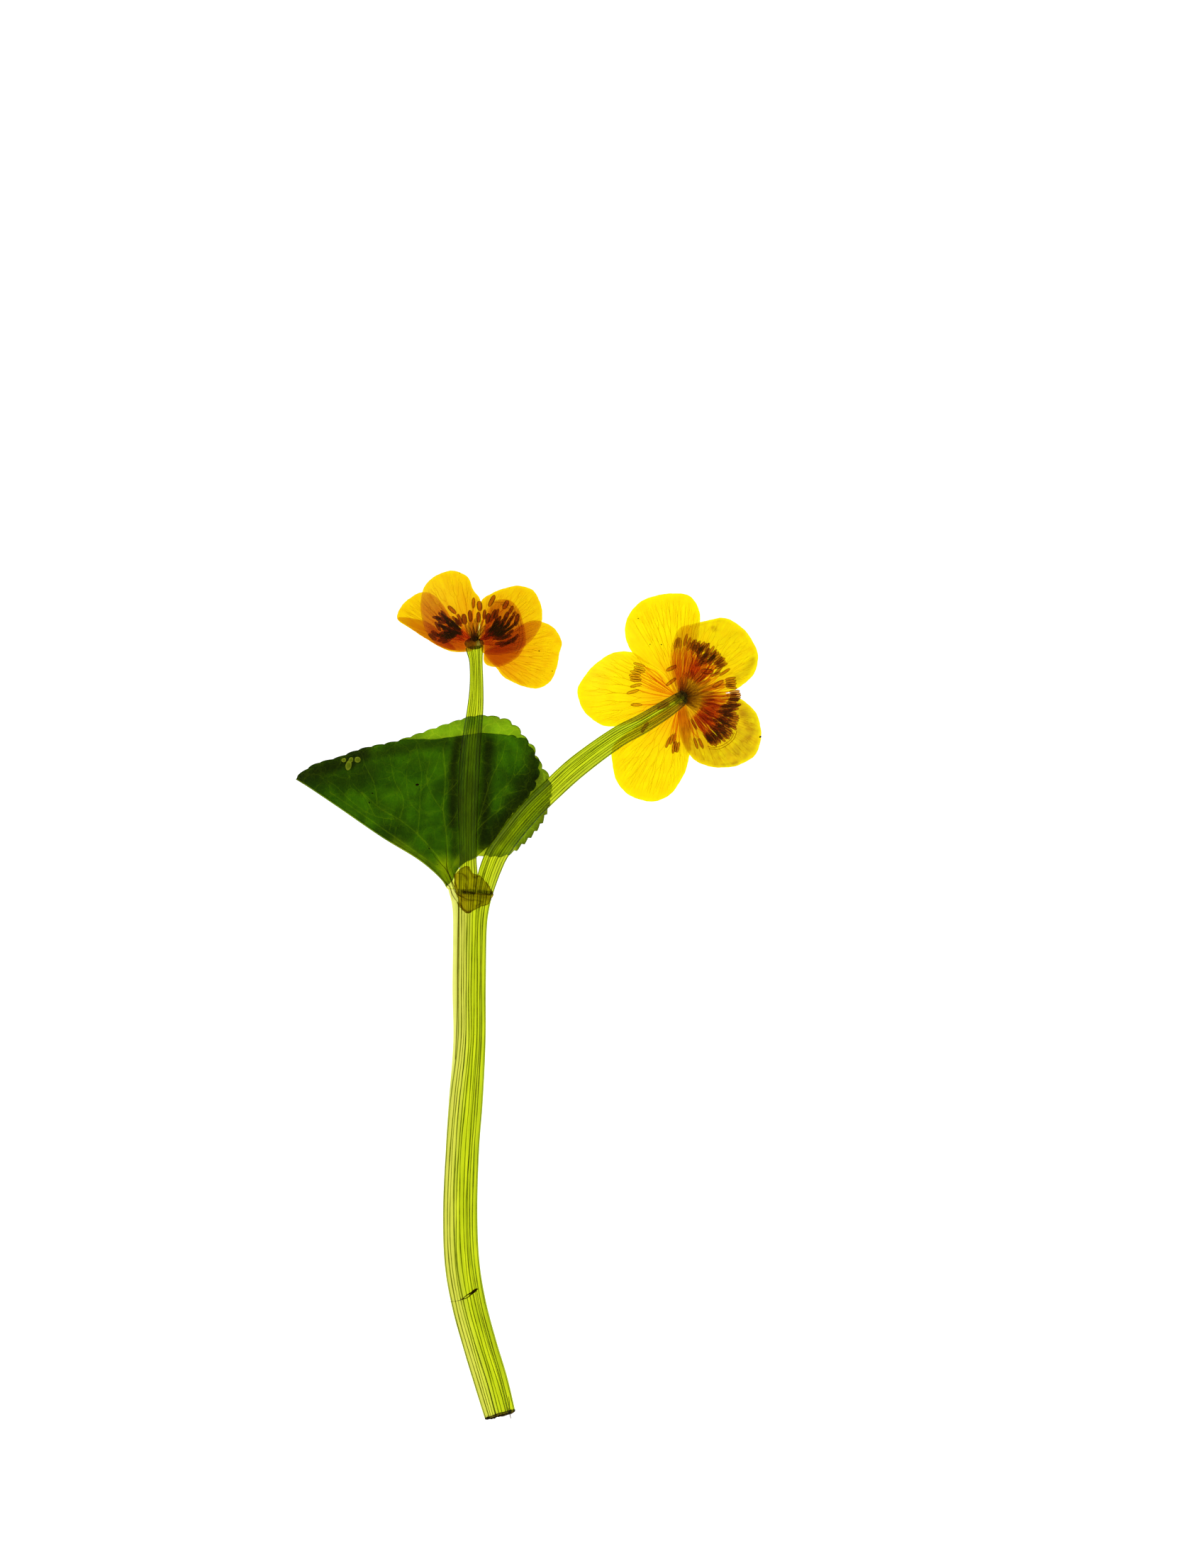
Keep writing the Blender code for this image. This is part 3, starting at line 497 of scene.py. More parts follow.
def soft_sided(core, shade):
    """Paint of a strand that is dark down its middle and clear along both sides."""
    def paint(graph):
        facing = graph.add("ShaderNodeSeparateXYZ",
                           {0: graph.add("ShaderNodeTexCoord").outputs["Normal"]}).outputs[2]
        middle = graph.between(graph.math("ABSOLUTE", facing), 0.1, 0.9)
        return (graph.blend(middle, BUNDLE_EDGE, core), graph.blend(middle, BUNDLE_EDGE, shade))
    return paint


bundle_flesh = see_through("bundle_flesh", soft_sided(BUNDLE_GREEN, BUNDLE_DARK), light=0.96,
                           cloud_size=1.6, cloud=0.8, grain_size=0.3, grain=0.12, specks=0.0)
wing_line_flesh = see_through("wing_line_flesh", soft_sided(WING_LINE_BROWN, BUNDLE_DARK),
                              light=0.95, cloud_size=2.0, cloud=0.6, specks=0.0)
strands("main_stem_bundles", bundle_paths(MAIN_STEM_ROUTE, 150, MAIN_BUNDLES), bundle_flesh,
        ["main_stem"])
strands("wing_line", [Route(WING_LINE).rows(60)], wing_line_flesh, ["main_stem"])


# Scar and fibre on the main stem
#
# A dark nick across the stem, where its skin was torn and has healed, and one loose fibre that
# sticks out of the cut end.

SCAR_PATHS = (
    ((-10.2, -58.75, 3.0, 0.05), (-10.55, -58.85, 3.05, 0.20), (-11.0, -59.15, 3.08, 0.27),
     (-11.5, -59.5, 3.1, 0.20), (-11.9, -59.7, 3.1, 0.13), (-12.6, -60.1, 3.1, 0.09),
     (-13.2, -60.6, 3.1, 0.07), (-13.8, -60.8, 3.08, 0.05)),
    ((-10.6, -59.15, 3.05, 0.10), (-11.6, -59.85, 3.1, 0.12), (-12.3, -60.45, 3.1, 0.08),
     (-13.1, -60.75, 3.1, 0.10), (-13.6, -60.95, 3.08, 0.06), (-14.6, -61.2, 3.0, 0.03),
     (-16.0, -61.4, 2.6, 0.03)),
)
FIBRE_PATH = ((-4.15, -80.4, 2.4, 0.05), (-4.0, -81.4, 2.3, 0.06), (-3.95, -82.3, 2.2, 0.05),
              (-4.1, -83.0, 2.1, 0.06), (-3.9, -83.9, 2.0, 0.10), (-3.7, -84.9, 1.8, 0.07))
SCAR_BROWN = (0.03, 0.012, 0.002, 1.0)
FIBRE_BROWN = (0.25, 0.16, 0.03, 1.0)

scar_skin = see_through("scar_skin", plain(SCAR_BROWN, (0.10, 0.06, 0.004, 1.0)), light=0.6,
                        roughness=0.7, cloud_size=0.5, cloud=0.6)
fibre_skin = see_through("fibre_skin", plain(FIBRE_BROWN, SCAR_BROWN), light=0.7, roughness=0.7,
                         cloud_size=0.7, cloud=0.8)
strands("stem_scar", [Route(path).rows(30) for path in SCAR_PATHS], scar_skin, ["main_stem"])
cut_ring = []
for step in range(49):
    turn = math.tau * step / 48
    out = 3.1 * math.cos(turn)
    cut_ring.append((-5.82 + 0.955 * out, -84.12 + 0.29 * out + 0.08 * wave(2.3 * out, 4),
                     1.5 + 1.35 * math.sin(turn), 0.11 + 0.06 * wave(4.0 * out, 6)))
strands("cut_rim", [cut_ring], scar_skin, ["main_stem"])
strands("cut_fibre", [Route(FIBRE_PATH).rows(16)], fibre_skin, ["main_stem"])


# Flower stalks
#
# Two ribbed stalks leave the fork. The left one climbs straight over the folded leaf, and the
# right one bends across it to the flower that lies face down.

LEFT_STALK_ROUTE = (
    (-12.45, 20.3, 1.55, 3.4, 2.9), (-12.2, 24.0, 2.15, 3.7, 2.7), (-12.2, 26.8, 2.65, 3.4, 2.5),
    (-12.25, 31.0, 2.75, 3.6, 2.3), (-12.2, 40.0, 2.75, 4.2, 2.2), (-11.7, 49.0, 2.75, 4.0, 2.1),
    (-10.8, 57.3, 2.7, 3.3, 2.0), (-10.55, 62.0, 2.6, 2.8, 1.9), (-10.65, 66.5, 2.6, 2.7, 1.9),
    (-10.85, 68.6, 2.6, 3.3, 1.9), (-10.95, 69.6, 2.6, 3.7, 1.9),
)
RIGHT_STALK_ROUTE = (
    (-9.1, 20.3, 1.55, 3.6, 2.9), (-8.6, 22.6, 1.85, 4.1, 2.8), (-7.7, 25.4, 2.35, 4.4, 2.6),
    (-6.25, 28.6, 2.75, 4.5, 2.4), (-3.4, 32.6, 2.75, 4.4, 2.3), (0.3, 37.0, 2.75, 4.5, 2.3),
    (4.4, 41.0, 2.85, 4.4, 2.3), (9.7, 45.8, 3.6, 4.5, 2.3), (17.2, 51.3, 4.8, 4.2, 2.2),
    (22.5, 54.2, 5.45, 4.0, 2.1), (26.9, 56.9, 5.75, 3.7, 2.0), (29.0, 58.3, 5.85, 3.3, 1.8),
    (30.0, 59.0, 5.8, 3.1, 1.5), (30.7, 59.5, 5.7, 2.4, 1.0),
)
STALK_RIBS = (-0.85, -0.6, -0.34, -0.08, 0.18, 0.44, 0.7, 0.9)
LEFT_BUNDLES = (
    (1, -0.92, -0.90, 0.10), (1, -0.67, -0.59, 0.12), (1, -0.40, -0.36, 0.12),
    (1, -0.09, -0.06, 0.10), (1, 0.16, 0.20, 0.10), (1, 0.46, 0.44, 0.10),
    (1, 0.70, 0.66, 0.09), (1, 0.94, 0.92, 0.11), (-1, 0.30, 0.05, 0.06),
)
RIGHT_BUNDLES = (
    (1, -0.94, -0.88, 0.10), (1, -0.70, -0.63, 0.09), (1, -0.49, -0.46, 0.08),
    (1, -0.27, -0.24, 0.10), (1, -0.04, -0.03, 0.11), (1, 0.15, 0.13, 0.10),
    (1, 0.33, 0.32, 0.12), (1, 0.51, 0.54, 0.13), (1, 0.73, 0.76, 0.08),
    (1, 0.94, 0.90, 0.08), (-1, -0.20, -0.50, 0.06), (-1, 0.62, 0.25, 0.07),
)

stalk_flesh = see_through("stalk_flesh", stem_paint(0.0, 0.12), light=0.95, gloss=0.15, cloud_size=2.6,
                          cloud=0.3, grain_size=0.22, grain=0.12, specks=0.6)
for side, route, stations, lines in (("left", LEFT_STALK_ROUTE, 150, LEFT_BUNDLES),
                                     ("right", RIGHT_STALK_ROUTE, 170, RIGHT_BUNDLES)):
    place(f"{side}_stalk_flesh", ribbed_tube(route, stations, 72, STALK_RIBS, 0.05),
          stalk_flesh, [f"stalk_{side}"], "stem")
    strands(f"{side}_stalk_bundles", bundle_paths(route, 90, lines), bundle_flesh,
            [f"stalk_{side}"])


# Leaf
#
# One kidney-shaped blade, folded along its midrib with the front half on top. Its margin is
# scalloped, and pale veins fan out from its base into a fine net. It is darkest beside the
# stalks and at its tip, where shadow is painted into its colour, and paler towards its base.
# Under the stalks its green is lightened with painted light.

LEAF_THICKNESS = 0.24
LEAF_BED = 0.17
LEAF_FOLD_RADIUS = 0.33
LEAF_CELLS = 108
LEAF_MIDDLE = (-18.0, 40.5)
LEAF_FOLD_SHARE = 0.25
LEAF_BEND_ROWS = 8
LEAF_FOLD = ((-46.45, 43.5), (-43.5, 41.6), (-38.1, 37.9), (-29.4, 31.9), (-22.2, 27.5),
             (-18.0, 24.0), (-16.4, 21.9))
LEAF_BACK_MARGIN = ((-46.6, 43.7), (-43.0, 46.2), (-38.3, 47.6), (-33.6, 49.3), (-27.5, 50.6),
                    (-21.7, 52.5), (-15.9, 54.5), (-10.8, 55.9), (-5.7, 55.5), (-2.1, 53.1),
                    (1.5, 47.3), (4.0, 43.0), (3.9, 38.0), (1.5, 33.1), (-4.1, 28.1),
                    (-10.2, 27.7), (-14.0, 25.5), (-15.5, 22.6))
LEAF_FRONT_MARGIN = ((-46.6, 43.7), (-43.0, 46.2), (-38.3, 47.6), (-33.6, 49.3), (-27.5, 50.6),
                     (-23.8, 51.2), (-18.8, 51.3), (-13.0, 52.0), (-9.0, 52.5), (-1.0, 51.2),
                     (1.3, 48.2), (1.8, 44.6), (0.1, 40.2), (-4.3, 35.1), (-7.2, 30.8),
                     (-10.4, 27.9), (-14.0, 25.6), (-15.5, 22.6))
LEAF_TIP_LIFT = 2.2
LEAF_TIP_LIFT_FROM_X = -34.0
LEAF_PILLOW_HEIGHT = 1.3
LEAF_PILLOW_X = -30.0
LEAF_PILLOW_REACH = 9.0
LEAF_PILLOW_START = 2.0
LEAF_PILLOW_DEPTH = 4.5
FOLD_DIRECTION = (0.812, -0.583)
# Where the blade is darker: a line, how wide it is and how strong
LEAF_SHADOWS = (
    (((-15.3, 34.0), (-15.2, 40.0), (-15.2, 46.0), (-14.2, 51.0)), 1.2, 1.0),
    (((-15.0, 28.0), (-15.0, 34.0)), 0.9, 0.7),
    (((-9.3, 29.6), (-9.0, 36.0), (-8.6, 43.0), (-8.2, 50.5)), 1.5, 1.0),
    (((-8.0, 30.0), (-5.4, 34.2), (-2.0, 39.0), (1.2, 43.2)), 2.3, 1.0),
    (((-7.6, 31.5), (-6.4, 34.0)), 2.6, 1.0),
    (((0.8, 47.5), (0.6, 44.5), (-1.8, 41.8)), 2.0, 0.85),
    (((4.6, 43.0), (3.9, 38.5), (3.2, 35.5), (1.8, 32.2), (-1.2, 29.0)), 2.0, 1.0),
    (((1.9, 47.5), (4.0, 44.0)), 1.2, 0.7),
    (((-46.0, 43.5), (-41.0, 45.4), (-36.5, 47.0), (-33.0, 48.4)), 2.2, 0.95),
    (((-42.0, 43.4), (-36.0, 43.0), (-33.0, 45.0)), 2.4, 0.6),
    (((-31.0, 48.2), (-25.0, 49.6), (-17.0, 50.6)), 1.4, 0.6),
    (((-35.9, 46.9), (-35.6, 46.5)), 1.7, 1.0),
    (((-28.5, 33.0), (-25.5, 31.0)), 2.6, 0.4),
    (((-30.0, 38.0), (-27.0, 36.4)), 2.0, 0.25),
)
# Where the blade is paler: a line, how wide it is and how strong. The last two lines follow the
# stalks, and there the lightening is painted light, which also clears the painted shadow from under
# them.
LEAF_PALES_AND_PAINTED_LIGHT = (
    (((-27.0, 30.3), (-21.0, 26.6), (-17.0, 23.3)), 1.2, 0.45),
    (((-17.2, 26.0), (-16.4, 23.2)), 1.9, 0.9),
    (((-3.5, 29.3), (-6.0, 28.7), (-9.0, 28.1)), 0.8, 0.75),
    (((-14.5, 26.3), (-11.0, 28.0), (-8.0, 28.2)), 1.2, 0.75),
    (((-12.2, 28.0), (-12.2, 40.0), (-11.7, 49.0), (-11.4, 52.0)), 1.5, 0.6),
    (((-6.25, 28.6), (-3.4, 32.6), (0.3, 37.0), (4.4, 41.0)), 1.5, 0.85),
)
LEAF_VEINS = (
    # Half width of the pale line, then its points from the base outwards
    (0.17, ((-16.3, 24.0), (-16.4, 27.0), (-16.4, 29.7), (-16.8, 33.3), (-17.25, 36.8),
            (-17.1, 39.9), (-16.85, 43.5), (-17.3, 49.3))),
    (0.18, ((-16.7, 24.6), (-17.9, 27.0), (-19.1, 28.6), (-22.4, 32.2), (-26.0, 35.1),
            (-27.8, 36.1), (-30.4, 37.7), (-33.5, 40.6))),
    (0.12, ((-16.0, 24.6), (-14.4, 27.6), (-11.9, 31.4), (-9.0, 34.6), (-6.0, 37.0),
            (-2.9, 39.4))),
    (0.12, ((-15.8, 24.6), (-13.2, 29.0), (-10.4, 34.6), (-7.4, 39.0), (-3.8, 42.8),
            (-0.8, 46.2))),
    (0.13, ((-16.9, 24.3), (-19.4, 26.2), (-24.6, 29.9), (-29.0, 33.0), (-34.0, 36.5),
            (-40.0, 40.6))),
    (0.08, ((-30.4, 37.7), (-31.1, 42.4), (-32.9, 46.0), (-33.4, 48.0))),
    (0.08, ((-26.0, 35.1), (-25.2, 39.0), (-27.0, 43.0), (-28.0, 48.0))),
    (0.09, ((-22.4, 32.2), (-22.0, 36.5), (-21.9, 40.6), (-21.6, 44.2), (-22.6, 49.6))),
    (0.07, ((-26.0, 35.1), (-31.0, 35.8), (-35.5, 38.6), (-39.0, 42.0), (-42.0, 43.6))),
    (0.08, ((-17.25, 36.8), (-19.5, 40.0), (-20.6, 43.5), (-19.9, 47.0))),
    (0.08, ((-17.1, 39.9), (-14.5, 42.6), (-13.0, 46.0), (-12.0, 50.6))),
    (0.09, ((-10.0, 35.4), (-8.8, 39.6), (-7.4, 43.8), (-5.4, 47.8), (-4.8, 50.6))),
    (0.08, ((-7.4, 39.0), (-3.8, 40.4), (-0.6, 41.2))),
    (0.07, ((-31.0, 35.8), (-33.0, 39.6), (-35.6, 42.6), (-36.6, 45.4))),
    (0.06, ((-22.0, 36.5), (-24.0, 38.8), (-24.6, 43.0), (-24.2, 47.4))),
    (0.06, ((-16.8, 33.3), (-14.6, 36.4), (-13.8, 40.0))),
    (0.06, ((-6.0, 37.0), (-5.4, 40.0), (-3.4, 43.6), (-2.6, 47.4), (-2.4, 50.2))),
    (0.06, ((-28.0, 33.0), (-27.6, 35.4))),
    (0.07, ((-21.9, 40.6), (-19.2, 44.6), (-17.9, 48.6))),
)
LEAF_GREEN = (0.145, 0.31, 0.003, 1.0)
LEAF_BRIGHT = (0.22, 0.43, 0.004, 1.0)
LEAF_DEEP = (0.072, 0.102, 0.002, 1.0)
LEAF_PALE = (0.55, 0.66, 0.012, 1.0)
LEAF_VEIN_PALE = (0.80, 0.95, 0.02, 1.0)


def leaf_lift(x):
    """How far the leaf rises from the table towards its tip."""
    rise = max(0.0, (LEAF_TIP_LIFT_FROM_X - x) / (LEAF_TIP_LIFT_FROM_X + 46.6))
    return LEAF_TIP_LIFT * rise ** 2


def leaf_height(x, y, front):
    """Middle of the front half, which stands off the back one as a low pillow, or of the back."""
    if not front:
        return LEAF_BED + leaf_lift(x)
    tip_x, tip_y = LEAF_FOLD[0]
    inward = (y - tip_y) * FOLD_DIRECTION[0] - (x - tip_x) * FOLD_DIRECTION[1]
    puff = 1.0 - math.exp(-(max(inward - LEAF_PILLOW_START, 0.0) / LEAF_PILLOW_DEPTH) ** 2)
    window = math.exp(-((x - LEAF_PILLOW_X) / LEAF_PILLOW_REACH) ** 2)
    return (LEAF_BED + 2 * LEAF_FOLD_RADIUS + leaf_lift(x) + LEAF_PILLOW_HEIGHT * puff * window)


def near_line(x, y, line):
    """Distance from a point to a line of straight runs."""
    spot = Vector((x, y))
    best = 1e9
    for start, end in zip(line, line[1:]):
        start, run = Vector(start[:2]), Vector(end[:2]) - Vector(start[:2])
        t = min(max((spot - start).dot(run) / max(run.length_squared, 1e-9), 0.0), 1.0)
        best = min(best, (spot - start - run * t).length)
    return best


def glow_from(x, y, shapes):
    """The strongest of several soft-edged lines at a point."""
    return max(strength * math.exp(-(near_line(x, y, line) / width) ** 2)
               for line, width, strength in shapes)


def scallop(reach, x, y, front):
    """How far the margin stands out at this distance along it from the tip."""
    if front and -24.0 < x < -4.0:
        return 0.10 * wave(reach / 1.5, 2)
    toothed = y < 41.0 and x > -9.0
    period = 1.9 if toothed else 2.7
    depth = 0.6 if toothed else 0.7 if x > -6.0 else 0.36
    if x < -13.0 and y < 30.0:
        return 0.0
    phase = (reach / period) % 1.0
    bump = phase ** 0.8 if toothed else abs(math.sin(math.pi * phase)) ** 0.6
    return depth * (bump - 0.5)


VEIN_LINES = [(width, [row[:2] for row in Route(line).rows(14)]) for width, line in LEAF_VEINS]


def beside_vein(x, y):
    """Signed and plain distance to the nearest vein, in half widths of that vein.

    The sign changes from one side of the vein to the other, so the shader finds the vein's
    middle between two points of the mesh.
    """
    spot = Vector((x, y))
    best = (9.0, 9.0)
    for width, line in VEIN_LINES:
        for number, (start, end) in enumerate(zip(line, line[1:])):
            start, run = Vector(start), Vector(end) - Vector(start)
            t = min(max((spot - start).dot(run) / run.length_squared, 0.0), 1.0)
            away = spot - start - run * t
            taper = width * (1 - 0.55 * (number + t) / len(line))
            if away.length / taper < best[1]:
                side = math.copysign(1.0, run.cross(away))
                best = (side * away.length / taper, away.length / taper)
    return best


def leaf_half(bm, marks, margin, front):
    """One half of the blade. Returns the rim that lies on the fold."""
    verts = bmesh.ops.create_grid(bm, x_segments=LEAF_CELLS, y_segments=LEAF_CELLS,
                                  size=1.0)["verts"]
    fold_rows = Route(LEAF_FOLD).rows(LEAF_CELLS + 1)
    path = Route(margin)
    count = 3 * LEAF_CELLS
    margin_rows = path.rows(count + 1)
    middle = Vector(LEAF_MIDDLE)
    rim_verts = [vert for vert in verts if vert.co.x > 0.999]
    folded = set(rim_verts)
    for vert in verts:
        u = vert.co.x * math.sqrt(1 - vert.co.y ** 2 / 2)
        v = vert.co.y * math.sqrt(1 - vert.co.x ** 2 / 2)
        spread = min(math.hypot(u, v), 1.0)
        share = (math.atan2(v, u) / math.tau + LEAF_FOLD_SHARE / 2) % 1.0
        if share <= LEAF_FOLD_SHARE + 1e-9 or share > 1 - 1e-9:
            rim = Vector(interpolated(fold_rows, (share % 1.0) / LEAF_FOLD_SHARE))
        else:
            along = (1 - share) / (1 - LEAF_FOLD_SHARE)
            rim = Vector(interpolated(margin_rows, along))
            rim += (rim - middle).normalized() * scallop(along * path.reach[-1], *rim, front)
        spot = middle.lerp(rim, spread)
        vert.co = (*spot, leaf_height(*spot, front) - LEAF_THICKNESS / 2)
        vert[marks["shadow"]] = glow_from(*spot, LEAF_SHADOWS)
        vert[marks["pale"]] = glow_from(*spot, LEAF_PALES_AND_PAINTED_LIGHT)
        vert[marks["rim"]] = 1.0 if spread > 0.9999 and vert not in folded else 0.0
        if front:
            vert[marks["beside"]], vert[marks["away"]] = beside_vein(*spot)
        else:
            vert[marks["beside"]] = vert[marks["away"]] = 9.0
    faces = list({face for vert in verts for face in vert.link_faces})
    top = bmesh.ops.extrude_face_region(bm, geom=faces)["geom"]
    top_verts = {item for item in top if isinstance(item, bmesh.types.BMVert)}
    bmesh.ops.translate(bm, verts=list(top_verts), vec=(0.0, 0.0, LEAF_THICKNESS))
    above = [edge.other_vert(vert) for vert in rim_verts for edge in vert.link_edges
             if edge.other_vert(vert) in top_verts]
    return set(rim_verts + above)


def interpolated(rows, fraction):
    """A point between the two nearest of evenly spaced rows."""
    spot = min(max(fraction, 0.0), 1.0) * (len(rows) - 1)
    index = min(int(spot), len(rows) - 2)
    return tuple(a + (b - a) * (spot - index) for a, b in zip(rows[index], rows[index + 1]))


def leaf_blade():
    """Two halves joined by the bend that carries the back one over to the front."""
    bm = bmesh.new()
    marks = {name: bm.verts.layers.float.new(name)
             for name in ("shadow", "pale", "rim", "bend", "beside", "away")}
    back = leaf_half(bm, marks, LEAF_BACK_MARGIN, False)
    front = leaf_half(bm, marks, LEAF_FRONT_MARGIN, True)
    front_rim = [face for face in bm.faces if front.issuperset(face.verts)]
    strip = [face for face in bm.faces if back.issuperset(face.verts)]
    bmesh.ops.delete(bm, geom=front_rim, context="FACES")
    outward = Vector((FOLD_DIRECTION[1], -FOLD_DIRECTION[0], 0.0))
    step = math.pi / LEAF_BEND_ROWS
    pivots = {vert: Vector((vert.co.x, vert.co.y, LEAF_BED + LEAF_FOLD_RADIUS
                            + leaf_lift(vert.co.x))) for vert in back}
    for _ in range(LEAF_BEND_ROWS):
        grown = bmesh.ops.extrude_face_region(bm, geom=strip)["geom"]
        bmesh.ops.delete(bm, geom=strip, context="FACES")
        strip = [item for item in grown if isinstance(item, bmesh.types.BMFace)]
        fresh = {}
        for vert in grown:
            if isinstance(vert, bmesh.types.BMVert):
                older = next(edge.other_vert(vert) for edge in vert.link_edges
                             if edge.other_vert(vert) in pivots)
                fresh[vert] = pivots[older]
        for vert, pivot in fresh.items():
            arm = vert.co - pivot
            out = arm.dot(outward)
            vert.co = (pivot + outward * (out * math.cos(step) - arm.z * math.sin(step))
                       + Vector((0.0, 0.0, arm.z * math.cos(step) + out * math.sin(step))))
            vert[marks["bend"]] = 1.0
        pivots = fresh
    bmesh.ops.delete(bm, geom=strip, context="FACES")
    bmesh.ops.remove_doubles(bm, verts=bm.verts[:], dist=0.001)
    bmesh.ops.recalc_face_normals(bm, faces=bm.faces[:])
    return bm


def leaf_paint(graph):
    """Deep green between a fine net of paler veins, darkest in the shadows."""
    place = graph.add("ShaderNodeVectorMath", {0: graph.add("ShaderNodeTexCoord").outputs["Object"],
                                               1: (1000.0, 1000.0, 1000.0)},
                      operation="MULTIPLY").outputs[0]
    bent = graph.add("ShaderNodeTexNoise", {"Vector": place, "Scale": 0.5, "Detail": 2.0})
    bent = graph.add("ShaderNodeVectorMath", {0: place, 1: graph.add(
        "ShaderNodeVectorMath", {0: bent.outputs["Color"], "Scale": 1.6},
        operation="SCALE").outputs[0]}).outputs[0]
    net = 0.0
    for size, width, strength in ((3.2, 0.035, 0.7), (1.2, 0.05, 0.4), (0.5, 0.08, 0.22)):
        cells = graph.add("ShaderNodeTexVoronoi", {"Vector": bent, "Scale": 1.0 / size},
                          feature="DISTANCE_TO_EDGE")
        line = graph.between(cells.outputs["Distance"], width, 0.0)
        net = graph.math("MAXIMUM", net, graph.math("MULTIPLY", line, strength))
    vein = graph.between(graph.math("ABSOLUTE", graph.mark("beside")), 1.0, 0.35)
    close = graph.between(graph.mark("away"), 5.0, 3.0)
    halo = graph.math("MULTIPLY", graph.between(graph.mark("away"), 4.0, 0.5), 0.2)
    vein = graph.math("MAXIMUM", graph.math("MULTIPLY", vein, close), halo)
    broad = graph.between(graph.noise(place, 0.13, 5.0), 0.38, 0.64)
    colour = graph.blend(broad, LEAF_GREEN, LEAF_BRIGHT)
    colour = graph.blend(graph.math("MULTIPLY", graph.mark("shadow"), 0.9), colour, LEAF_DEEP)
    # Paler tissue towards the base, and painted light under the stalks.
    colour = graph.blend(graph.mark("pale"), colour, LEAF_PALE)
    colour = graph.blend(graph.math("MULTIPLY", net, 0.34), colour, LEAF_VEIN_PALE)
    colour = graph.blend(graph.math("MULTIPLY", vein, 0.5), colour, LEAF_VEIN_PALE)
    colour = graph.blend(graph.math("MULTIPLY", graph.mark("rim"), 0.7), colour, LEAF_DEEP)
    colour = graph.blend(graph.math("MULTIPLY", graph.mark("bend"), 0.4), colour, LEAF_DEEP)
    return colour, graph.blend(0.6, colour, LEAF_DEEP)


leaf_flesh = see_through("leaf_flesh", leaf_paint, light=0.94, gloss=0.15, bump=0.3,
                         cloud_size=3.2, cloud=0.5, grain_size=0.3, grain=0.4, specks=0.7)
place("leaf_blade", leaf_blade(), leaf_flesh, ["leaf"], "leaf")


# Leaf base
#
# The blade narrows into a pale, winged leaf stalk that clasps the left side of the stem. Its
# veins gather into three or four dark brown strands that run into the fork.

LEAF_BASE_OUTLINE = ((-16.4, 21.2), (-16.62, 21.4), (-16.9, 21.95), (-16.3, 22.1),
                     (-15.7, 22.7), (-15.2, 24.0), (-14.9, 25.0), (-14.2, 25.4), (-13.8, 24.6),
                     (-13.8, 23.0), (-13.9, 21.2), (-14.6, 21.15), (-15.5, 21.15))
LEAF_BASE_STRANDS = (
    (0.09, ((-16.82, 30.3), (-16.68, 28.6), (-16.54, 27.2), (-16.6, 25.8), (-16.26, 24.6),
            (-15.55, 22.9), (-14.98, 21.5), (-14.4, 20.4), (-13.36, 19.6), (-12.0, 19.1),
            (-10.9, 18.9))),
    (0.08, ((-20.2, 29.4), (-19.1, 27.9), (-17.96, 26.5), (-16.8, 25.2), (-16.1, 23.9),
            (-15.7, 22.9), (-15.35, 21.8), (-14.84, 20.6), (-13.98, 19.8), (-12.7, 19.3),
            (-11.4, 19.1))),
    (0.08, ((-18.8, 24.4), (-17.1, 22.8), (-15.97, 21.6), (-15.55, 20.5), (-15.03, 19.4),
            (-14.45, 18.7), (-14.2, 17.8))),
    (0.07, ((-15.7, 26.4), (-15.4, 24.9), (-15.0, 23.5), (-14.7, 22.1), (-14.1, 20.5),
            (-13.1, 19.7), (-12.2, 19.5))),
    (0.04, ((-17.3, 24.9), (-16.5, 23.2), (-16.0, 22.2), (-15.7, 20.6), (-15.2, 18.6))),
)
BASE_GREEN = (0.72, 0.80, 0.07, 1.0)
BASE_STRAND_BROWN = (0.26, 0.20, 0.03, 1.0)


def leaf_base_height(x, y):
    """Underside of the leaf stalk, which rises from the blade to the fork."""
    return 1.1 + 0.28 * max(0.0, x + 16.5)


def thin_sheet(outline, surface, thickness, cells, marks, ruffle=0.0):
    """A thin curved plate: a square grid spread over its outline, then raised to its thickness.

    marks is a dictionary of names and functions that give each mark at a point.
    """
    path = Route(outline, closed=True)
    count = 12 * cells
    edge = path.rows(count + 1)
    middle = Vector((sum(p[0] for p in path.dense) / len(path.dense),
                     sum(p[1] for p in path.dense) / len(path.dense)))
    bm = bmesh.new()
    layers = {name: bm.verts.layers.float.new(name) for name in [*marks, "rim"]}
    bmesh.ops.create_grid(bm, x_segments=cells, y_segments=cells, size=1.0)
    for vert in bm.verts:
        u = vert.co.x * math.sqrt(1 - vert.co.y ** 2 / 2)
        v = vert.co.y * math.sqrt(1 - vert.co.x ** 2 / 2)
        share = (math.atan2(v, u) / math.tau) % 1.0
        spread = min(math.hypot(u, v), 1.0)
        rim = Vector(interpolated(edge, share))
        if ruffle:
            rim += (rim - middle).normalized() * ruffle * wave(share * 75.0, middle.x)
        spot = middle.lerp(rim, spread)
        vert.co = (*spot, surface(*spot))
        for name, find in marks.items():
            vert[layers[name]] = find(*spot)
        vert[layers["rim"]] = max(0.0, (spread - 0.9) / 0.1)
    top = bmesh.ops.extrude_face_region(bm, geom=bm.faces[:])["geom"]
    top_verts = [item for item in top if isinstance(item, bmesh.types.BMVert)]
    bmesh.ops.translate(bm, verts=top_verts, vec=(0.0, 0.0, thickness))
    bmesh.ops.recalc_face_normals(bm, faces=bm.faces[:])
    return bm


def leaf_base_paint(graph):
    """Pale green that fades to cream along the outer edge."""
    colour = graph.blend(graph.mark("outer"), BASE_GREEN, WING_CREAM)
    return colour, graph.blend(0.4, colour, STEM_SHADE)


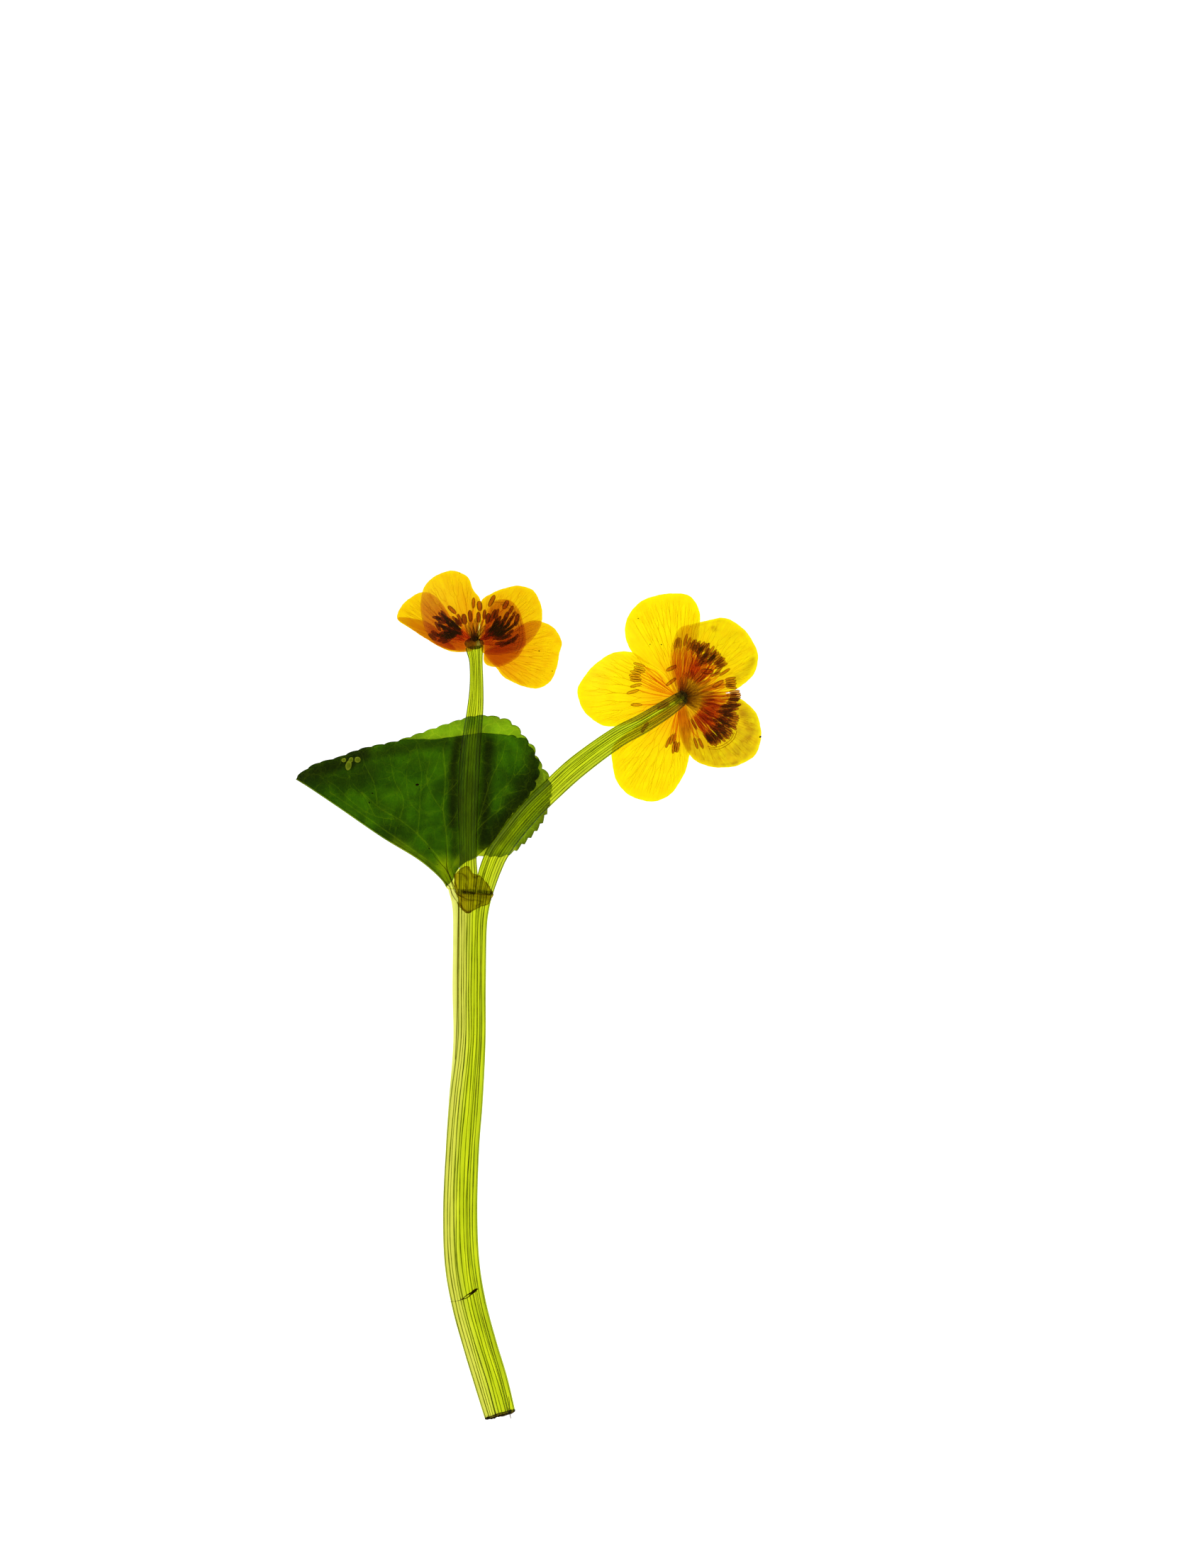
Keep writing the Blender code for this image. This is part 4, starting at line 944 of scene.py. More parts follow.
leaf_base_flesh = see_through("leaf_base_flesh", leaf_base_paint, light=0.95, cloud_size=1.5,
                              cloud=0.35, grain_size=0.22, grain=0.12, specks=0.0)
base_strand_flesh = see_through("base_strand_flesh", plain(BASE_STRAND_BROWN, BUNDLE_DARK),
                                light=0.92, cloud_size=1.5, cloud=0.5, specks=0.0)
place("leaf_base", thin_sheet(LEAF_BASE_OUTLINE, leaf_base_height, 0.25, 40,
                              {"outer": lambda x, y: min(1.0, max(0.0, (-15.2 - x) / 1.2))
                               * min(1.0, max(0.0, (23.5 - y) / 1.5))}),
      leaf_base_flesh, ["leaf"], "leaf")
strands("leaf_base_strands",
        [[(x, y, leaf_base_height(x, y) + 0.2, radius * min(1.0, 0.15 + index / 18, 4.4 - index / 9))
          for index, (x, y) in enumerate(Route(line).rows(40))]
         for radius, line in LEAF_BASE_STRANDS],
        base_strand_flesh, ["leaf"])


# Sheath
#
# A thin brown papery sheath, crumpled over the fork. The stalks show through it, and it is
# darker along its creases, where it is folded double, and along its torn edge.

SHEATH_OUTLINE = ((-15.0, 23.7), (-14.6, 24.4), (-13.7, 25.3), (-12.1, 25.9), (-11.4, 24.6),
                  (-9.7, 23.8), (-8.3, 22.3), (-7.2, 20.2), (-8.3, 18.2), (-10.2, 17.5),
                  (-11.4, 16.7), (-12.2, 16.4), (-13.3, 16.9), (-14.0, 18.1), (-14.2, 19.4),
                  (-14.8, 20.9))
SHEATH_THICKNESS = 0.2
SHEATH_BED = 3.7
SHEATH_CREASES = (
    # A line, half its width and how dark it is
    (((-14.7, 24.5), (-13.4, 24.35), (-12.6, 23.75), (-12.3, 23.1)), 0.16, 0.75),
    (((-12.3, 25.6), (-11.7, 24.7), (-11.1, 23.5), (-9.7, 23.9)), 0.16, 0.6),
    (((-13.3, 20.8), (-11.6, 20.5), (-9.5, 20.15), (-8.0, 20.1), (-7.4, 20.5)), 0.24, 1.0),
    (((-13.0, 20.2), (-11.2, 19.9), (-9.4, 19.6), (-8.3, 19.5)), 0.5, 0.5),
    (((-13.6, 19.3), (-12.0, 18.95), (-10.6, 19.1), (-9.3, 18.7)), 0.22, 0.6),
    (((-13.9, 18.4), (-13.2, 17.2), (-12.3, 16.6), (-11.4, 16.85)), 0.22, 0.9),
    (((-11.0, 17.1), (-10.6, 17.9), (-9.2, 18.6)), 0.16, 0.5),
    (((-8.6, 22.6), (-8.0, 21.6), (-7.45, 20.6)), 0.16, 0.6),
    (((-14.75, 24.2), (-14.95, 22.8), (-14.7, 21.7)), 0.3, 0.8),
    (((-12.7, 22.3), (-12.4, 21.2), (-12.5, 20.4)), 0.1, 0.55),
    (((-10.9, 21.9), (-10.2, 21.2), (-9.9, 20.4)), 0.1, 0.5),
)
SHEATH_FILM = (0.66, 0.54, 0.04, 1.0)
SHEATH_FOLD = (0.16, 0.085, 0.008, 1.0)


def sheath_height(x, y):
    """Underside of the sheath, just clear of the fork below it."""
    climb = 0.12 * max(0.0, y - 19.5)
    return SHEATH_BED + climb - 0.75 * (abs(x + 11.2) / 4.0) ** 2.5


def sheath_surface(x, y):
    """The sheath's height with its creases raised."""
    return sheath_height(x, y) + 0.05 * glow_from(x, y, SHEATH_CREASES) + 0.05 * wave(x * 2.0 + y, 5)


def sheath_paint(graph):
    """Yellow-brown film, darker in its folds and along its torn edge."""
    crease = graph.mark("crease")
    rim = graph.between(graph.mark("rim"), 0.35, 0.9)
    colour = graph.blend(graph.math("MAXIMUM", crease, graph.math("MULTIPLY", rim, 0.75)),
                         SHEATH_FILM, SHEATH_FOLD)
    return colour, graph.blend(0.45, colour, SHEATH_FOLD)


sheath_film = see_through("sheath_film", sheath_paint, light=0.95, bump=0.4,
                          cloud_size=1.1, cloud=0.7, grain_size=0.25, grain=0.25, specks=0.3)
place("fork_sheath",
      thin_sheet(SHEATH_OUTLINE, sheath_surface, SHEATH_THICKNESS, 60,
                 {"crease": lambda x, y: glow_from(x, y, SHEATH_CREASES)}, ruffle=0.12),
      sheath_film, ["leaf_sheath"], "sheath")


# Duckweed
#
# Four little fronds of one floating plant, stuck to the leaf near its tip.

DUCKWEED_FRONDS = (
    # x, y, half length, half width, turn in degrees
    (-37.14, 47.02, 0.46, 0.42, 20.0), (-35.72, 47.05, 0.58, 0.44, 60.0),
    (-34.36, 47.1, 0.62, 0.58, 0.0), (-36.2, 45.95, 0.98, 0.6, 78.0),
)


def blobs(rows, segments, rings, grow=None):
    """Flattened round bodies, each with its own lengthwise and crosswise place as a mark."""
    bm = bmesh.new()
    own = bm.verts.layers.float_vector.new("own")
    pale = bm.verts.layers.float.new("tone")
    for x, y, z, half_length, half_width, half_height, turn, tone in rows:
        matrix = (Matrix.Translation((x, y, z)) @ Euler((0, 0, math.radians(turn))).to_matrix()
                  .to_4x4() @ Matrix.Diagonal((half_length, half_width, half_height, 1.0)))
        back = Matrix.Rotation(math.pi / 2, 4, "Y")
        made = bmesh.ops.create_uvsphere(bm, u_segments=segments, v_segments=rings, radius=1.0,
                                         matrix=back)
        for vert in made["verts"]:
            spot = vert.co.copy()
            if grow:
                spot = grow(spot)
            vert[own] = vert.co
            vert[pale] = tone
            vert.co = matrix @ spot
    return bm


def frond_paint(graph):
    """Olive fronds with a paler rim."""
    own = graph.add("ShaderNodeAttribute", attribute_name="own").outputs["Vector"]
    out = graph.add("ShaderNodeVectorMath", {0: graph.add(
        "ShaderNodeVectorMath", {0: own, 1: (1.0, 1.0, 0.0)}, operation="MULTIPLY").outputs[0]},
        operation="LENGTH").outputs["Value"]
    colour = graph.blend(graph.between(out, 0.45, 0.85), (0.42, 0.60, 0.02, 1.0),
                         (0.75, 0.90, 0.05, 1.0))
    return colour, (0.22, 0.32, 0.01, 1.0)


frond_flesh = see_through("frond_flesh", frond_paint, light=0.2, cloud_size=0.6, cloud=0.5,
                          grain_size=0.12, grain=0.3)
place("duckweed_fronds",
      blobs([(x, y, leaf_height(x, y, True) + 0.55, length, width, 0.17, turn, 0.0)
             for x, y, length, width, turn in DUCKWEED_FRONDS], 24, 12),
      frond_flesh, ["duckweed"], "duckweed")


# Right flower: sepals
#
# Five broad yellow sepals. The flower lies face down, so they spread as one shallow dome with
# their backs to the camera. Fine branching veins run out to their margins.

RIGHT_CENTRE = (30.3, 59.4)
SEPAL_THICKNESS = 0.3
SEPAL_LAYER_STEP = 0.75
RIGHT_SEPALS = (
    # Layer, base, direction of its middle, how clouded it is, the darker places on it, outline
    (1, (-0.3, 0.4), 102.0, 0.0,
     ((((-1.5, 1.5), (-1.8, 4.5)), 1.6, 0.25),),
     ((-0.9, 0.3), (-3.4, 4.8), (-7.6, 7.4), (-10.0, 9.5), (-11.2, 13.4), (-10.2, 17.0),
      (-7.8, 19.5), (-4.2, 20.8), (0.6, 21.0), (3.0, 19.3), (3.9, 16.1), (3.3, 11.5),
      (2.1, 6.7), (1.0, 1.2), (0.4, 0.2))),
    (0, (-0.6, 0.2), 174.0, 0.0,
     ((((-4.5, -1.5), (-1.5, -0.3)), 1.2, 0.25),),
     ((-0.2, 0.4), (-3.1, 4.7), (-6.9, 7.4), (-9.9, 9.2), (-13.5, 9.1), (-17.3, 6.7),
      (-20.2, 3.0), (-20.6, 0.4), (-19.1, -2.9), (-16.3, -5.1), (-13.8, -5.7), (-9.3, -4.9),
      (-4.2, -2.4), (-0.4, -0.3))),
    (0, (-0.2, -0.6), 249.0, 0.06,
     ((((1.2, -10.5), (0.2, -6.5)), 1.0, 0.25),),
     ((-0.3, -0.5), (-4.2, -2.7), (-9.9, -6.3), (-13.3, -9.1), (-13.8, -12.1),
      (-12.7, -16.8), (-9.9, -19.6), (-5.7, -20.7), (-2.1, -19.3), (0.6, -15.4),
      (1.8, -11.4), (2.1, -8.2), (1.8, -4.4), (0.9, -0.9), (0.2, -0.3))),
    (1, (0.4, -0.5), 318.0, 0.5,
     ((((12.5, -3.0), (14.0, -6.5), (12.6, -9.6), (10.6, -10.6)), 2.0, 0.75),
      (((3.2, -13.0), (7.8, -13.7), (11.8, -12.9)), 0.8, 0.8),
      (((4.2, -12.2), (6.0, -12.6)), 0.5, 0.6), (((9.4, -11.2), (11.4, -11.8)), 0.4, 0.5),
      (((13.0, -11.9), (15.2, -9.6), (15.9, -7.0)), 0.5, 0.5)),
     ((0.6, -0.2), (-0.6, -2.8), (-0.4, -5.2), (0.1, -8.2), (1.8, -11.4), (4.2, -13.2),
      (7.8, -13.9), (11.6, -13.4), (15.1, -11.2), (16.2, -7.1), (15.1, -2.9), (12.1, -0.2),
      (8.7, 1.0), (4.2, 1.2), (1.4, 0.5))),
    (0, (0.4, 0.4), 44.0, 0.22,
     ((((6.5, 14.1), (7.0, 13.7)), 0.55, 0.9),
      (((11.4, 4.2), (13.0, 5.4), (14.6, 7.6)), 1.1, 0.55),
      (((2.0, 14.4), (5.4, 15.2), (8.6, 15.8)), 0.5, 0.4),
      (((9.0, 12.0), (11.0, 12.6)), 1.8, 0.3), (((0.0, 5.0), (0.0, 12.0)), 1.6, 0.35)),
     ((0.3, 0.2), (-1.4, 3.3), (-2.1, 7.9), (-1.5, 11.5), (-0.3, 13.9), (2.1, 14.8),
      (5.4, 15.6), (8.4, 16.2), (11.3, 15.1), (14.0, 12.4), (15.6, 8.5), (14.5, 4.6),
      (10.9, 1.7), (7.2, 0.7), (3.6, 0.5), (1.0, 0.1))),
)
RIGHT_CREASES = (
    ((5.3, -9.6), (6.6, -9.9), (7.9, -9.6), (9.2, -8.9), (10.1, -8.1), (10.7, -6.9)),
    ((5.6, -10.1), (7.4, -10.2), (9.1, -9.5), (10.6, -8.2), (11.2, -6.6)),
)
SEPAL_YELLOW = (0.90, 0.76, 0.001, 1.0)
SEPAL_GOLD = (0.86, 0.44, 0.001, 1.0)
SEPAL_OLIVE = (0.30, 0.12, 0.002, 1.0)
SEPAL_RIM = (0.95, 0.85, 0.002, 1.0)
SEPAL_VEIN = (0.84, 0.70, 0.05, 1.0)


def right_dome(x, y):
    """Underside of the right flower's lowest sepals."""
    reach = ((x + 2.2) / 19.6) ** 2 + (y / 21.6) ** 2
    ripple = 0.15 * math.sin(x / 3.4) * math.cos(y / 3.4)
    return max(0.05, 0.05 + 3.6 * (1 - reach ** 1.7) + ripple)


def sepal_marks(base, heading, tone, clouds):
    """How far out on the sepal a point is, its direction from the base, and its clouding."""
    turn = math.radians(heading)

    def direction(x, y):
        there = Vector((x - base[0], y - base[1]))
        out = there.x * math.cos(turn) + there.y * math.sin(turn)
        side = there.y * math.cos(turn) - there.x * math.sin(turn)
        return math.atan2(side, max(out, 0.01) + 1.5)

    return {"out": lambda x, y: math.dist((x, y), base), "aim": direction,
            "cloudy": lambda x, y: max(tone, glow_from(x, y, clouds)) if clouds else tone}


def sepal_paint(yellow, gold, rim, depth):
    """Clear yellow with fine streaks that fan out, deeper towards the base and in its clouds.

    The margin thins out, so it is the clearest.
    """
    def paint(graph):
        out, aim, cloudy = graph.mark("out"), graph.mark("aim"), graph.mark("cloudy")
        fan = graph.add("ShaderNodeCombineXYZ", {0: graph.math("MULTIPLY", aim, 42.0),
                                                 1: graph.math("MULTIPLY", out, 0.25)})
        wide = graph.add("ShaderNodeCombineXYZ", {0: graph.math("MULTIPLY", aim, 9.0),
                                                  1: graph.math("MULTIPLY", out, 0.16)})
        streak = graph.between(graph.noise(fan.outputs[0], 1.0, 3.0), 0.35, 0.72)
        sweep = graph.between(graph.noise(wide.outputs[0], 1.0, 3.0), 0.35, 0.7)
        deep = graph.math("MULTIPLY", graph.between(out, depth, 1.0), 0.95)
        deep = graph.math("ADD", deep, graph.math("MULTIPLY", streak, 0.2))
        deep = graph.math("ADD", deep, graph.math("MULTIPLY", sweep, 0.22), clamp=True)
        colour = graph.blend(deep, yellow, gold)
        mottle = graph.noise(graph.add("ShaderNodeTexCoord").outputs["Object"], 700.0, 4.0)
        rough = graph.math("ADD", graph.math("MULTIPLY", mottle, 1.6), graph.math(
            "MULTIPLY", streak, 0.15))
        colour = graph.blend(graph.math("MULTIPLY", cloudy, rough, clamp=True), colour,
                             SEPAL_OLIVE)
        colour = graph.blend(graph.math("MULTIPLY", graph.between(
            graph.mark("rim"), 0.0, 1.0), 0.6), colour, rim)
        return colour, graph.blend(0.6, colour, gold)
    return paint


def inside(x, y, outline):
    """True if a point lies inside a closed outline."""
    odd = False
    for (ax, ay), (bx, by) in zip(outline, outline[1:] + outline[:1]):
        if (ay > y) != (by > y) and x < ax + (y - ay) * (bx - ax) / (by - ay):
            odd = not odd
    return odd


def sepal_veins(base, heading, outline, height, dice, count=10, spread=75.0):
    """A fan of veins that fork three times on their way from the base to the margin."""
    edge = [tuple(p) for p in Route(outline, closed=True).dense[:-1]]
    reach = {}
    for step in range(-50, 51):
        turn = math.radians(heading + spread * step / 50)
        far = 2.0
        while inside(base[0] + (far + 0.25) * math.cos(turn),
                     base[1] + (far + 0.25) * math.sin(turn), edge):
            far += 0.25
        if far > 7.0:
            reach[step] = far
    low, high = min(reach) + 2, max(reach) - 2

    def spot(share, t):
        step = low + (high - low) * min(max(share, 0.0), 1.0)
        near, rest = int(math.floor(step)), step - math.floor(step)
        far = reach.get(near, 7.0) * (1 - rest) + reach.get(near + 1, reach.get(near, 7.0)) * rest
        turn = math.radians(heading + spread * step / 50)
        return base[0] + far * t * math.cos(turn), base[1] + far * t * math.sin(turn)

    paths = []
    ends = (0.40, 0.63, 0.81, 0.95)

    def grow(share, begin, level, came_from):
        stop = ends[level] + dice.uniform(-0.07, 0.05 if level < 3 else 0.0)
        steps = max(4, int((stop - begin) * 30))
        lean = dice.uniform(-0.12, 0.12) / count
        line = []
        for step in range(steps + 1):
            t = begin + (stop - begin) * step / steps
            ease = min(1.0, (step / steps) / 0.55)
            ease = ease * ease * (3 - 2 * ease)
            at = came_from + (share - came_from) * ease + lean * (step / steps)
            at += 0.002 * wave(t * 30, share * 50)
            x, y = spot(at, t)
            line.append((x, y, height(x, y), (0.052, 0.044, 0.035, 0.027)[level]
                         * (1 - 0.3 * step / steps)))
        paths.append(line)
        if level < 3:
            half = 0.5 / count / 2 ** level
            for side in (-1, 1):
                if level < 2 or dice.random() < 0.7:
                    grow(at + side * half * dice.uniform(0.8, 1.1), stop, level + 1, at)

    for number in range(count):
        share = (number + 0.5 + dice.uniform(-0.15, 0.15)) / count
        grow(share, 0.16, 0, share)
    return paths


dice = random.Random(7)
right_sepal_skin = see_through("right_sepal_skin",
                               sepal_paint(SEPAL_YELLOW, SEPAL_GOLD, SEPAL_RIM, 14.0),
                               light=0.97, gloss=0.15, cloud_size=2.4, cloud=0.35,
                               grain_size=0.28, grain=0.10, specks=0.5)
vein_skin = see_through("sepal_vein_skin", plain(SEPAL_VEIN, (0.68, 0.50, 0.02, 1.0)),
                        light=0.98, specks=0.0)
crease_skin = see_through("sepal_crease_skin", plain((0.50, 0.30, 0.01, 1.0),
                                                     (0.30, 0.15, 0.004, 1.0)), light=0.95)
right_vein_paths = []
for number, (layer, base, heading, tone, clouds, outline) in enumerate(RIGHT_SEPALS, start=1):
    def lifted(x, y, layer=layer):
        return right_dome(x, y) + layer * SEPAL_LAYER_STEP

    place(f"right_sepal_{number}_skin",
          thin_sheet(outline, lifted, SEPAL_THICKNESS, 56,
                     sepal_marks(base, heading, tone, clouds), ruffle=0.06),
          right_sepal_skin, [f"right_sepal_{number}"], "right_sepals", RIGHT_CENTRE)
    right_vein_paths += sepal_veins(base, heading, outline,
                                    lambda x, y: lifted(x, y) + SEPAL_THICKNESS, dice)
strands("right_sepal_veins", right_vein_paths, vein_skin, ["right_sepal_1"],
        RIGHT_CENTRE, roundness=0)
strands("right_sepal_creases",
        [[(x, y, right_dome(x, y) + SEPAL_LAYER_STEP + SEPAL_THICKNESS, 0.06)
          for x, y in Route(line).rows(24)] for line in RIGHT_CREASES],
        crease_skin, ["right_sepal_4"], RIGHT_CENTRE, roundness=0)


# Right flower: heart
#
# The receptacle holds a fan of small green carpels and about a hundred stamens, each a long
# thin filament with a split anther at its end. Pressing has spread them out below the sepals.

RIGHT_RECEPTACLE = ((0.0, 0.45), (0.9, 0.45), (1.3, 0.7), (1.4, 1.6), (1.38, 2.5),
                    (1.32, 3.4), (1.3, 5.0), (1.38, 5.5), (1.3, 6.05), (0.9, 6.4), (0.0, 6.5))
RIGHT_CARPELS = (
    # direction in degrees, reach, half width
    (88.0, 4.4, 0.5), (76.0, 5.4, 0.58), (65.0, 6.2, 0.64), (54.0, 6.7, 0.66),
    (43.0, 7.0, 0.68), (32.0, 7.2, 0.70), (21.0, 7.2, 0.68), (10.0, 7.0, 0.68),
    (-1.0, 6.8, 0.66), (-12.0, 6.3, 0.62), (-23.0, 5.4, 0.56), (-34.0, 4.4, 0.5),
)
RIGHT_ANTHERS = (
    # x, y of the middle, direction of the free end in degrees, then length where it isn't 2.2
    (-0.95, 10.95, 78), (-0.55, 11.2, 84), (-0.1, 11.1, 92), (1.0, 11.7, 76, 2.5),
    (1.7, 11.3, 68), (1.8, 10.4, 60, 1.9), (2.6, 10.9, 58), (2.9, 10.4, 58), (3.4, 10.7, 56),
    (3.7, 10.1, 55), (4.2, 10.5, 52), (4.5, 10.2, 50), (4.3, 9.7, 50), (5.0, 10.2, 55),
    (3.8, 9.6, 48), (5.4, 10.1, 72), (6.2, 9.6, 58), (6.6, 9.0, 50), (6.9, 8.6, 42),
    (7.2, 8.25, 38), (7.4, 7.85, 34), (6.4, 8.3, 42), (6.2, 7.9, 38), (4.4, 8.5, 25),
    (4.9, 8.2, 30), (4.3, 8.0, 28), (5.2, 8.7, 22), (4.7, 7.8, 32), (3.9, 7.1, 32),
    (4.6, 7.0, 28), (5.0, 7.4, 24), (7.6, 7.2, 24), (8.1, 7.0, 30), (8.4, 6.75, 14),
    (7.9, 6.35, 18), (7.6, 5.6, 45), (8.9, 5.3, 33, 2.5), (7.0, 4.85, 22), (10.0, 3.95, 12),
    (10.1, 3.45, 5), (10.2, 3.0, 0), (10.0, 2.6, -5), (10.2, 2.2, -8), (10.8, 1.4, 4),
    (11.0, 1.0, 0), (11.1, 0.6, 1), (11.0, 0.2, -2), (10.7, -0.2, 4), (10.5, -0.55, 5),
    (11.1, -1.3, 2), (10.8, -1.55, 8), (10.6, -2.2, 8), (9.4, -1.3, 12), (8.9, -1.7, 14),
    (9.4, -2.35, 5), (9.0, -2.8, 10), (10.2, -2.85, -5), (9.6, -3.2, 0), (10.6, -3.4, -8),
    (10.7, -3.85, -10), (10.6, -4.3, -12), (10.4, -4.8, -18), (10.2, -5.3, -25),
    (10.3, -5.7, -28), (8.6, -3.5, 0), (8.8, -4.2, -10), (8.8, -4.8, -15), (9.2, -5.3, -22),
    (9.5, -6.0, -32), (9.6, -6.5, -35), (9.3, -6.9, -38), (8.0, -5.6, -20), (8.4, -6.2, -30),
    (8.5, -6.8, -38), (8.6, -7.4, -42), (9.0, -7.4, -40), (8.2, -7.9, -45), (7.7, -7.4, -45),
    (7.2, -6.8, -40), (6.8, -7.5, -48), (7.4, -8.2, -48), (6.9, -8.4, -52), (6.3, -8.2, -52),
    (6.6, -8.8, -55), (5.9, -8.6, -56), (5.5, -8.2, -56), (5.8, -7.6, -50), (6.3, -7.1, -46),
    (7.0, -5.9, -25), (6.4, -4.3, -18), (7.6, -4.4, -8), (8.2, -2.6, 6), (3.1, -9.0, -72, 2.4),
    (4.1, -9.0, -66, 2.3), (2.7, -5.2, -63, 2.4), (-2.5, -8.8, -112, 2.4),
    (-1.8, -8.2, -106), (-1.2, -8.0, -100), (-1.4, -9.9, -98, 2.4), (-0.95, -9.7, -94),
    (-0.5, -9.8, -102), (-8.3, 6.75, 163, 2.4), (-8.2, 5.95, 165, 2.4), (-8.3, 5.5, 167, 2.3),
    (-9.0, 5.25, 168, 2.2), (-9.15, 4.6, 178, 2.4), (-9.0, 4.0, 172, 2.4),
    (-9.0, 3.6, 176, 2.2), (-8.95, 2.6, 194, 2.4), (-9.55, 1.35, 196, 2.6),
    (-8.85, -1.3, 180, 2.3),
)
# Anthers that lie apart from the ring, and their widths
RIGHT_LOOSE_ANTHERS = (
    (5.3, 5.4, -5, 2.6, 1.15), (7.5, 2.9, 33, 2.6, 0.85), (5.8, -3.05, -33, 2.5, 0.7),
    (-1.8, 6.05, 205, 2.4, 0.8), (-1.9, 3.3, 217, 2.5, 0.7), (-3.4, -1.6, 203, 2.7, 0.85),
    (-7.2, -5.8, 234, 2.6, 0.7),
)
ANTHER_WIDTH = 0.62
ANTHER_PALE = (0.92, 0.68, 0.16, 1.0)
ANTHER_BROWN = (0.58, 0.20, 0.012, 1.0)
# The outline colours are painted shade; ANTHER_DARK also paints shade into the middles of the left
# flower's bunched anthers.
ANTHER_OUTLINE = (0.15, 0.036, 0.003, 1.0)
ANTHER_DARK = (0.10, 0.030, 0.003, 1.0)
FILAMENT_ORANGE = (0.94, 0.58, 0.010, 1.0)
CARPEL_OLIVE = (0.84, 0.76, 0.22, 1.0)
CARPEL_DARK = (0.46, 0.34, 0.05, 1.0)
RECEPTACLE_OLIVE = (0.86, 0.76, 0.20, 1.0)
FIBRE_DARK = (0.30, 0.22, 0.03, 1.0)


def own_place(graph):
    """A body's own lengthwise, crosswise and upward place, each from -1 to 1."""
    own = graph.add("ShaderNodeAttribute", attribute_name="own").outputs["Vector"]
    return graph.add("ShaderNodeSeparateXYZ", {0: own}).outputs


def anther_paint(graph):
    """A see-through middle, pale or brown, inside a dark outline that is painted shade."""
    along, across = own_place(graph)[:2]
    tone = graph.mark("tone")
    girth = graph.math("SQRT", graph.math("SUBTRACT", 1.02, graph.math(
        "MULTIPLY", along, along)))
    wide = graph.math("DIVIDE", graph.math("ABSOLUTE", across), girth)
    # Painted shade: a dark outline along the sides and ends, where the light crosses the walls
    # edge-on.
    outline = graph.math("MAXIMUM", graph.between(wide, 0.52, 0.80),
                         graph.between(graph.math("ABSOLUTE", along), 0.84, 0.96))
    middle = graph.blend(tone, ANTHER_BROWN, ANTHER_PALE)
    # A tone below 0.12 darkens the middle. Only the left flower's anthers have one, and in its two
    # bunches this is painted shade for the overlapping anthers.
    middle = graph.blend(graph.math("MULTIPLY", graph.between(tone, 0.12, 0.0), 0.8), middle,
                         ANTHER_DARK)
    line = graph.blend(graph.between(tone, 0.0, 0.3), ANTHER_DARK, ANTHER_OUTLINE)
    colour = graph.blend(outline, middle, line)
    return colour, graph.blend(0.6, colour, line)


def anther_rows(rows, height, tone):
    """Place, size and turn of each anther's body, and how pale it is."""
    made = []
    for index, (x, y, turn, *sizes) in enumerate(rows):
        length = sizes[0] if sizes else 2.2
        width = sizes[1] if len(sizes) > 1 else ANTHER_WIDTH
        made.append((x, y, height(index), length / 2, width / 2, 0.2, turn, tone(x, y)))
    return made


def anther_shape(spot):
    """Long and blunt, with a shallow groove between its two pollen sacs."""
    round_girth = math.sqrt(max(1 - spot.x ** 2, 0.0))
    girth = max(1 - abs(spot.x) ** 2.7, 0.0) ** 0.42
    fill = girth / round_girth if round_girth > 0.01 else 0.0
    groove = 1 - 0.3 * math.exp(-(spot.y / 0.25) ** 2)
    return Vector((spot.x, spot.y * fill, spot.z * groove))


def filament(start, x, y, turn, length, z_start, z_end, radius, sway):
    """A thin thread from the receptacle to the near end of an anther."""
    heading = math.radians(turn)
    end_x = x - math.cos(heading) * length / 2 * 0.9
    end_y = y - math.sin(heading) * length / 2 * 0.9
    leave = math.atan2(end_y, end_x)
    start_x, start_y = start * math.cos(leave), start * math.sin(leave)
    rows = []
    for step in range(9):
        t = step / 8
        bow = sway * math.sin(math.pi * t)
        rows.append((start_x + (end_x - start_x) * t - bow * math.sin(leave),
                     start_y + (end_y - start_y) * t + bow * math.cos(leave),
                     z_start + (z_end - z_start) * t,
                     radius * min(1.0, 0.3 + 1.4 * t) * (1.15 - 0.3 * t)))
    return rows


def carpel_rows(rows, start, z):
    """Bodies that leave the receptacle side by side."""
    made = []
    for index, (turn, reach, half_width) in enumerate(rows):
        heading = math.radians(turn)
        middle = (start + reach) / 2
        made.append((middle * math.cos(heading), middle * math.sin(heading), z[index % 2],
                     (reach - start) / 2, half_width, 0.3, turn, 0.0))
    return made


def carpel_shape(spot):
    """A pod that narrows to a beak at its free end."""
    beak = 1.0 - 0.55 * max(spot.x, 0.0) ** 2
    fill = 1.0 / max(math.sqrt(max(1 - spot.x ** 2, 0.0)), 0.6)
    return Vector((spot.x, spot.y * beak * fill, spot.z))


def carpel_paint(graph):
    """Olive pods with lengthwise fibres, darker at their edges and base."""
    along, across, _ = own_place(graph)
    lines = graph.add("ShaderNodeCombineXYZ", {0: graph.math("MULTIPLY", across, 4.5),
                                               1: graph.math("MULTIPLY", along, 1.1),
                                               2: graph.add("ShaderNodeObjectInfo").outputs[3]})
    fibre = graph.between(graph.noise(lines.outputs[0], 1.6, 3.0), 0.42, 0.62)
    edge = graph.between(graph.math("ABSOLUTE", across), 0.6, 0.92)
    base = graph.between(along, 0.2, -1.0)
    dark = graph.math("MAXIMUM", graph.math("MULTIPLY", fibre, 0.5),
                      graph.math("MAXIMUM", graph.math("MULTIPLY", edge, 0.65),
                                 graph.math("MULTIPLY", base, 0.55)))
    colour = graph.blend(dark, CARPEL_OLIVE, CARPEL_DARK)
    return colour, graph.blend(0.4, colour, CARPEL_DARK)


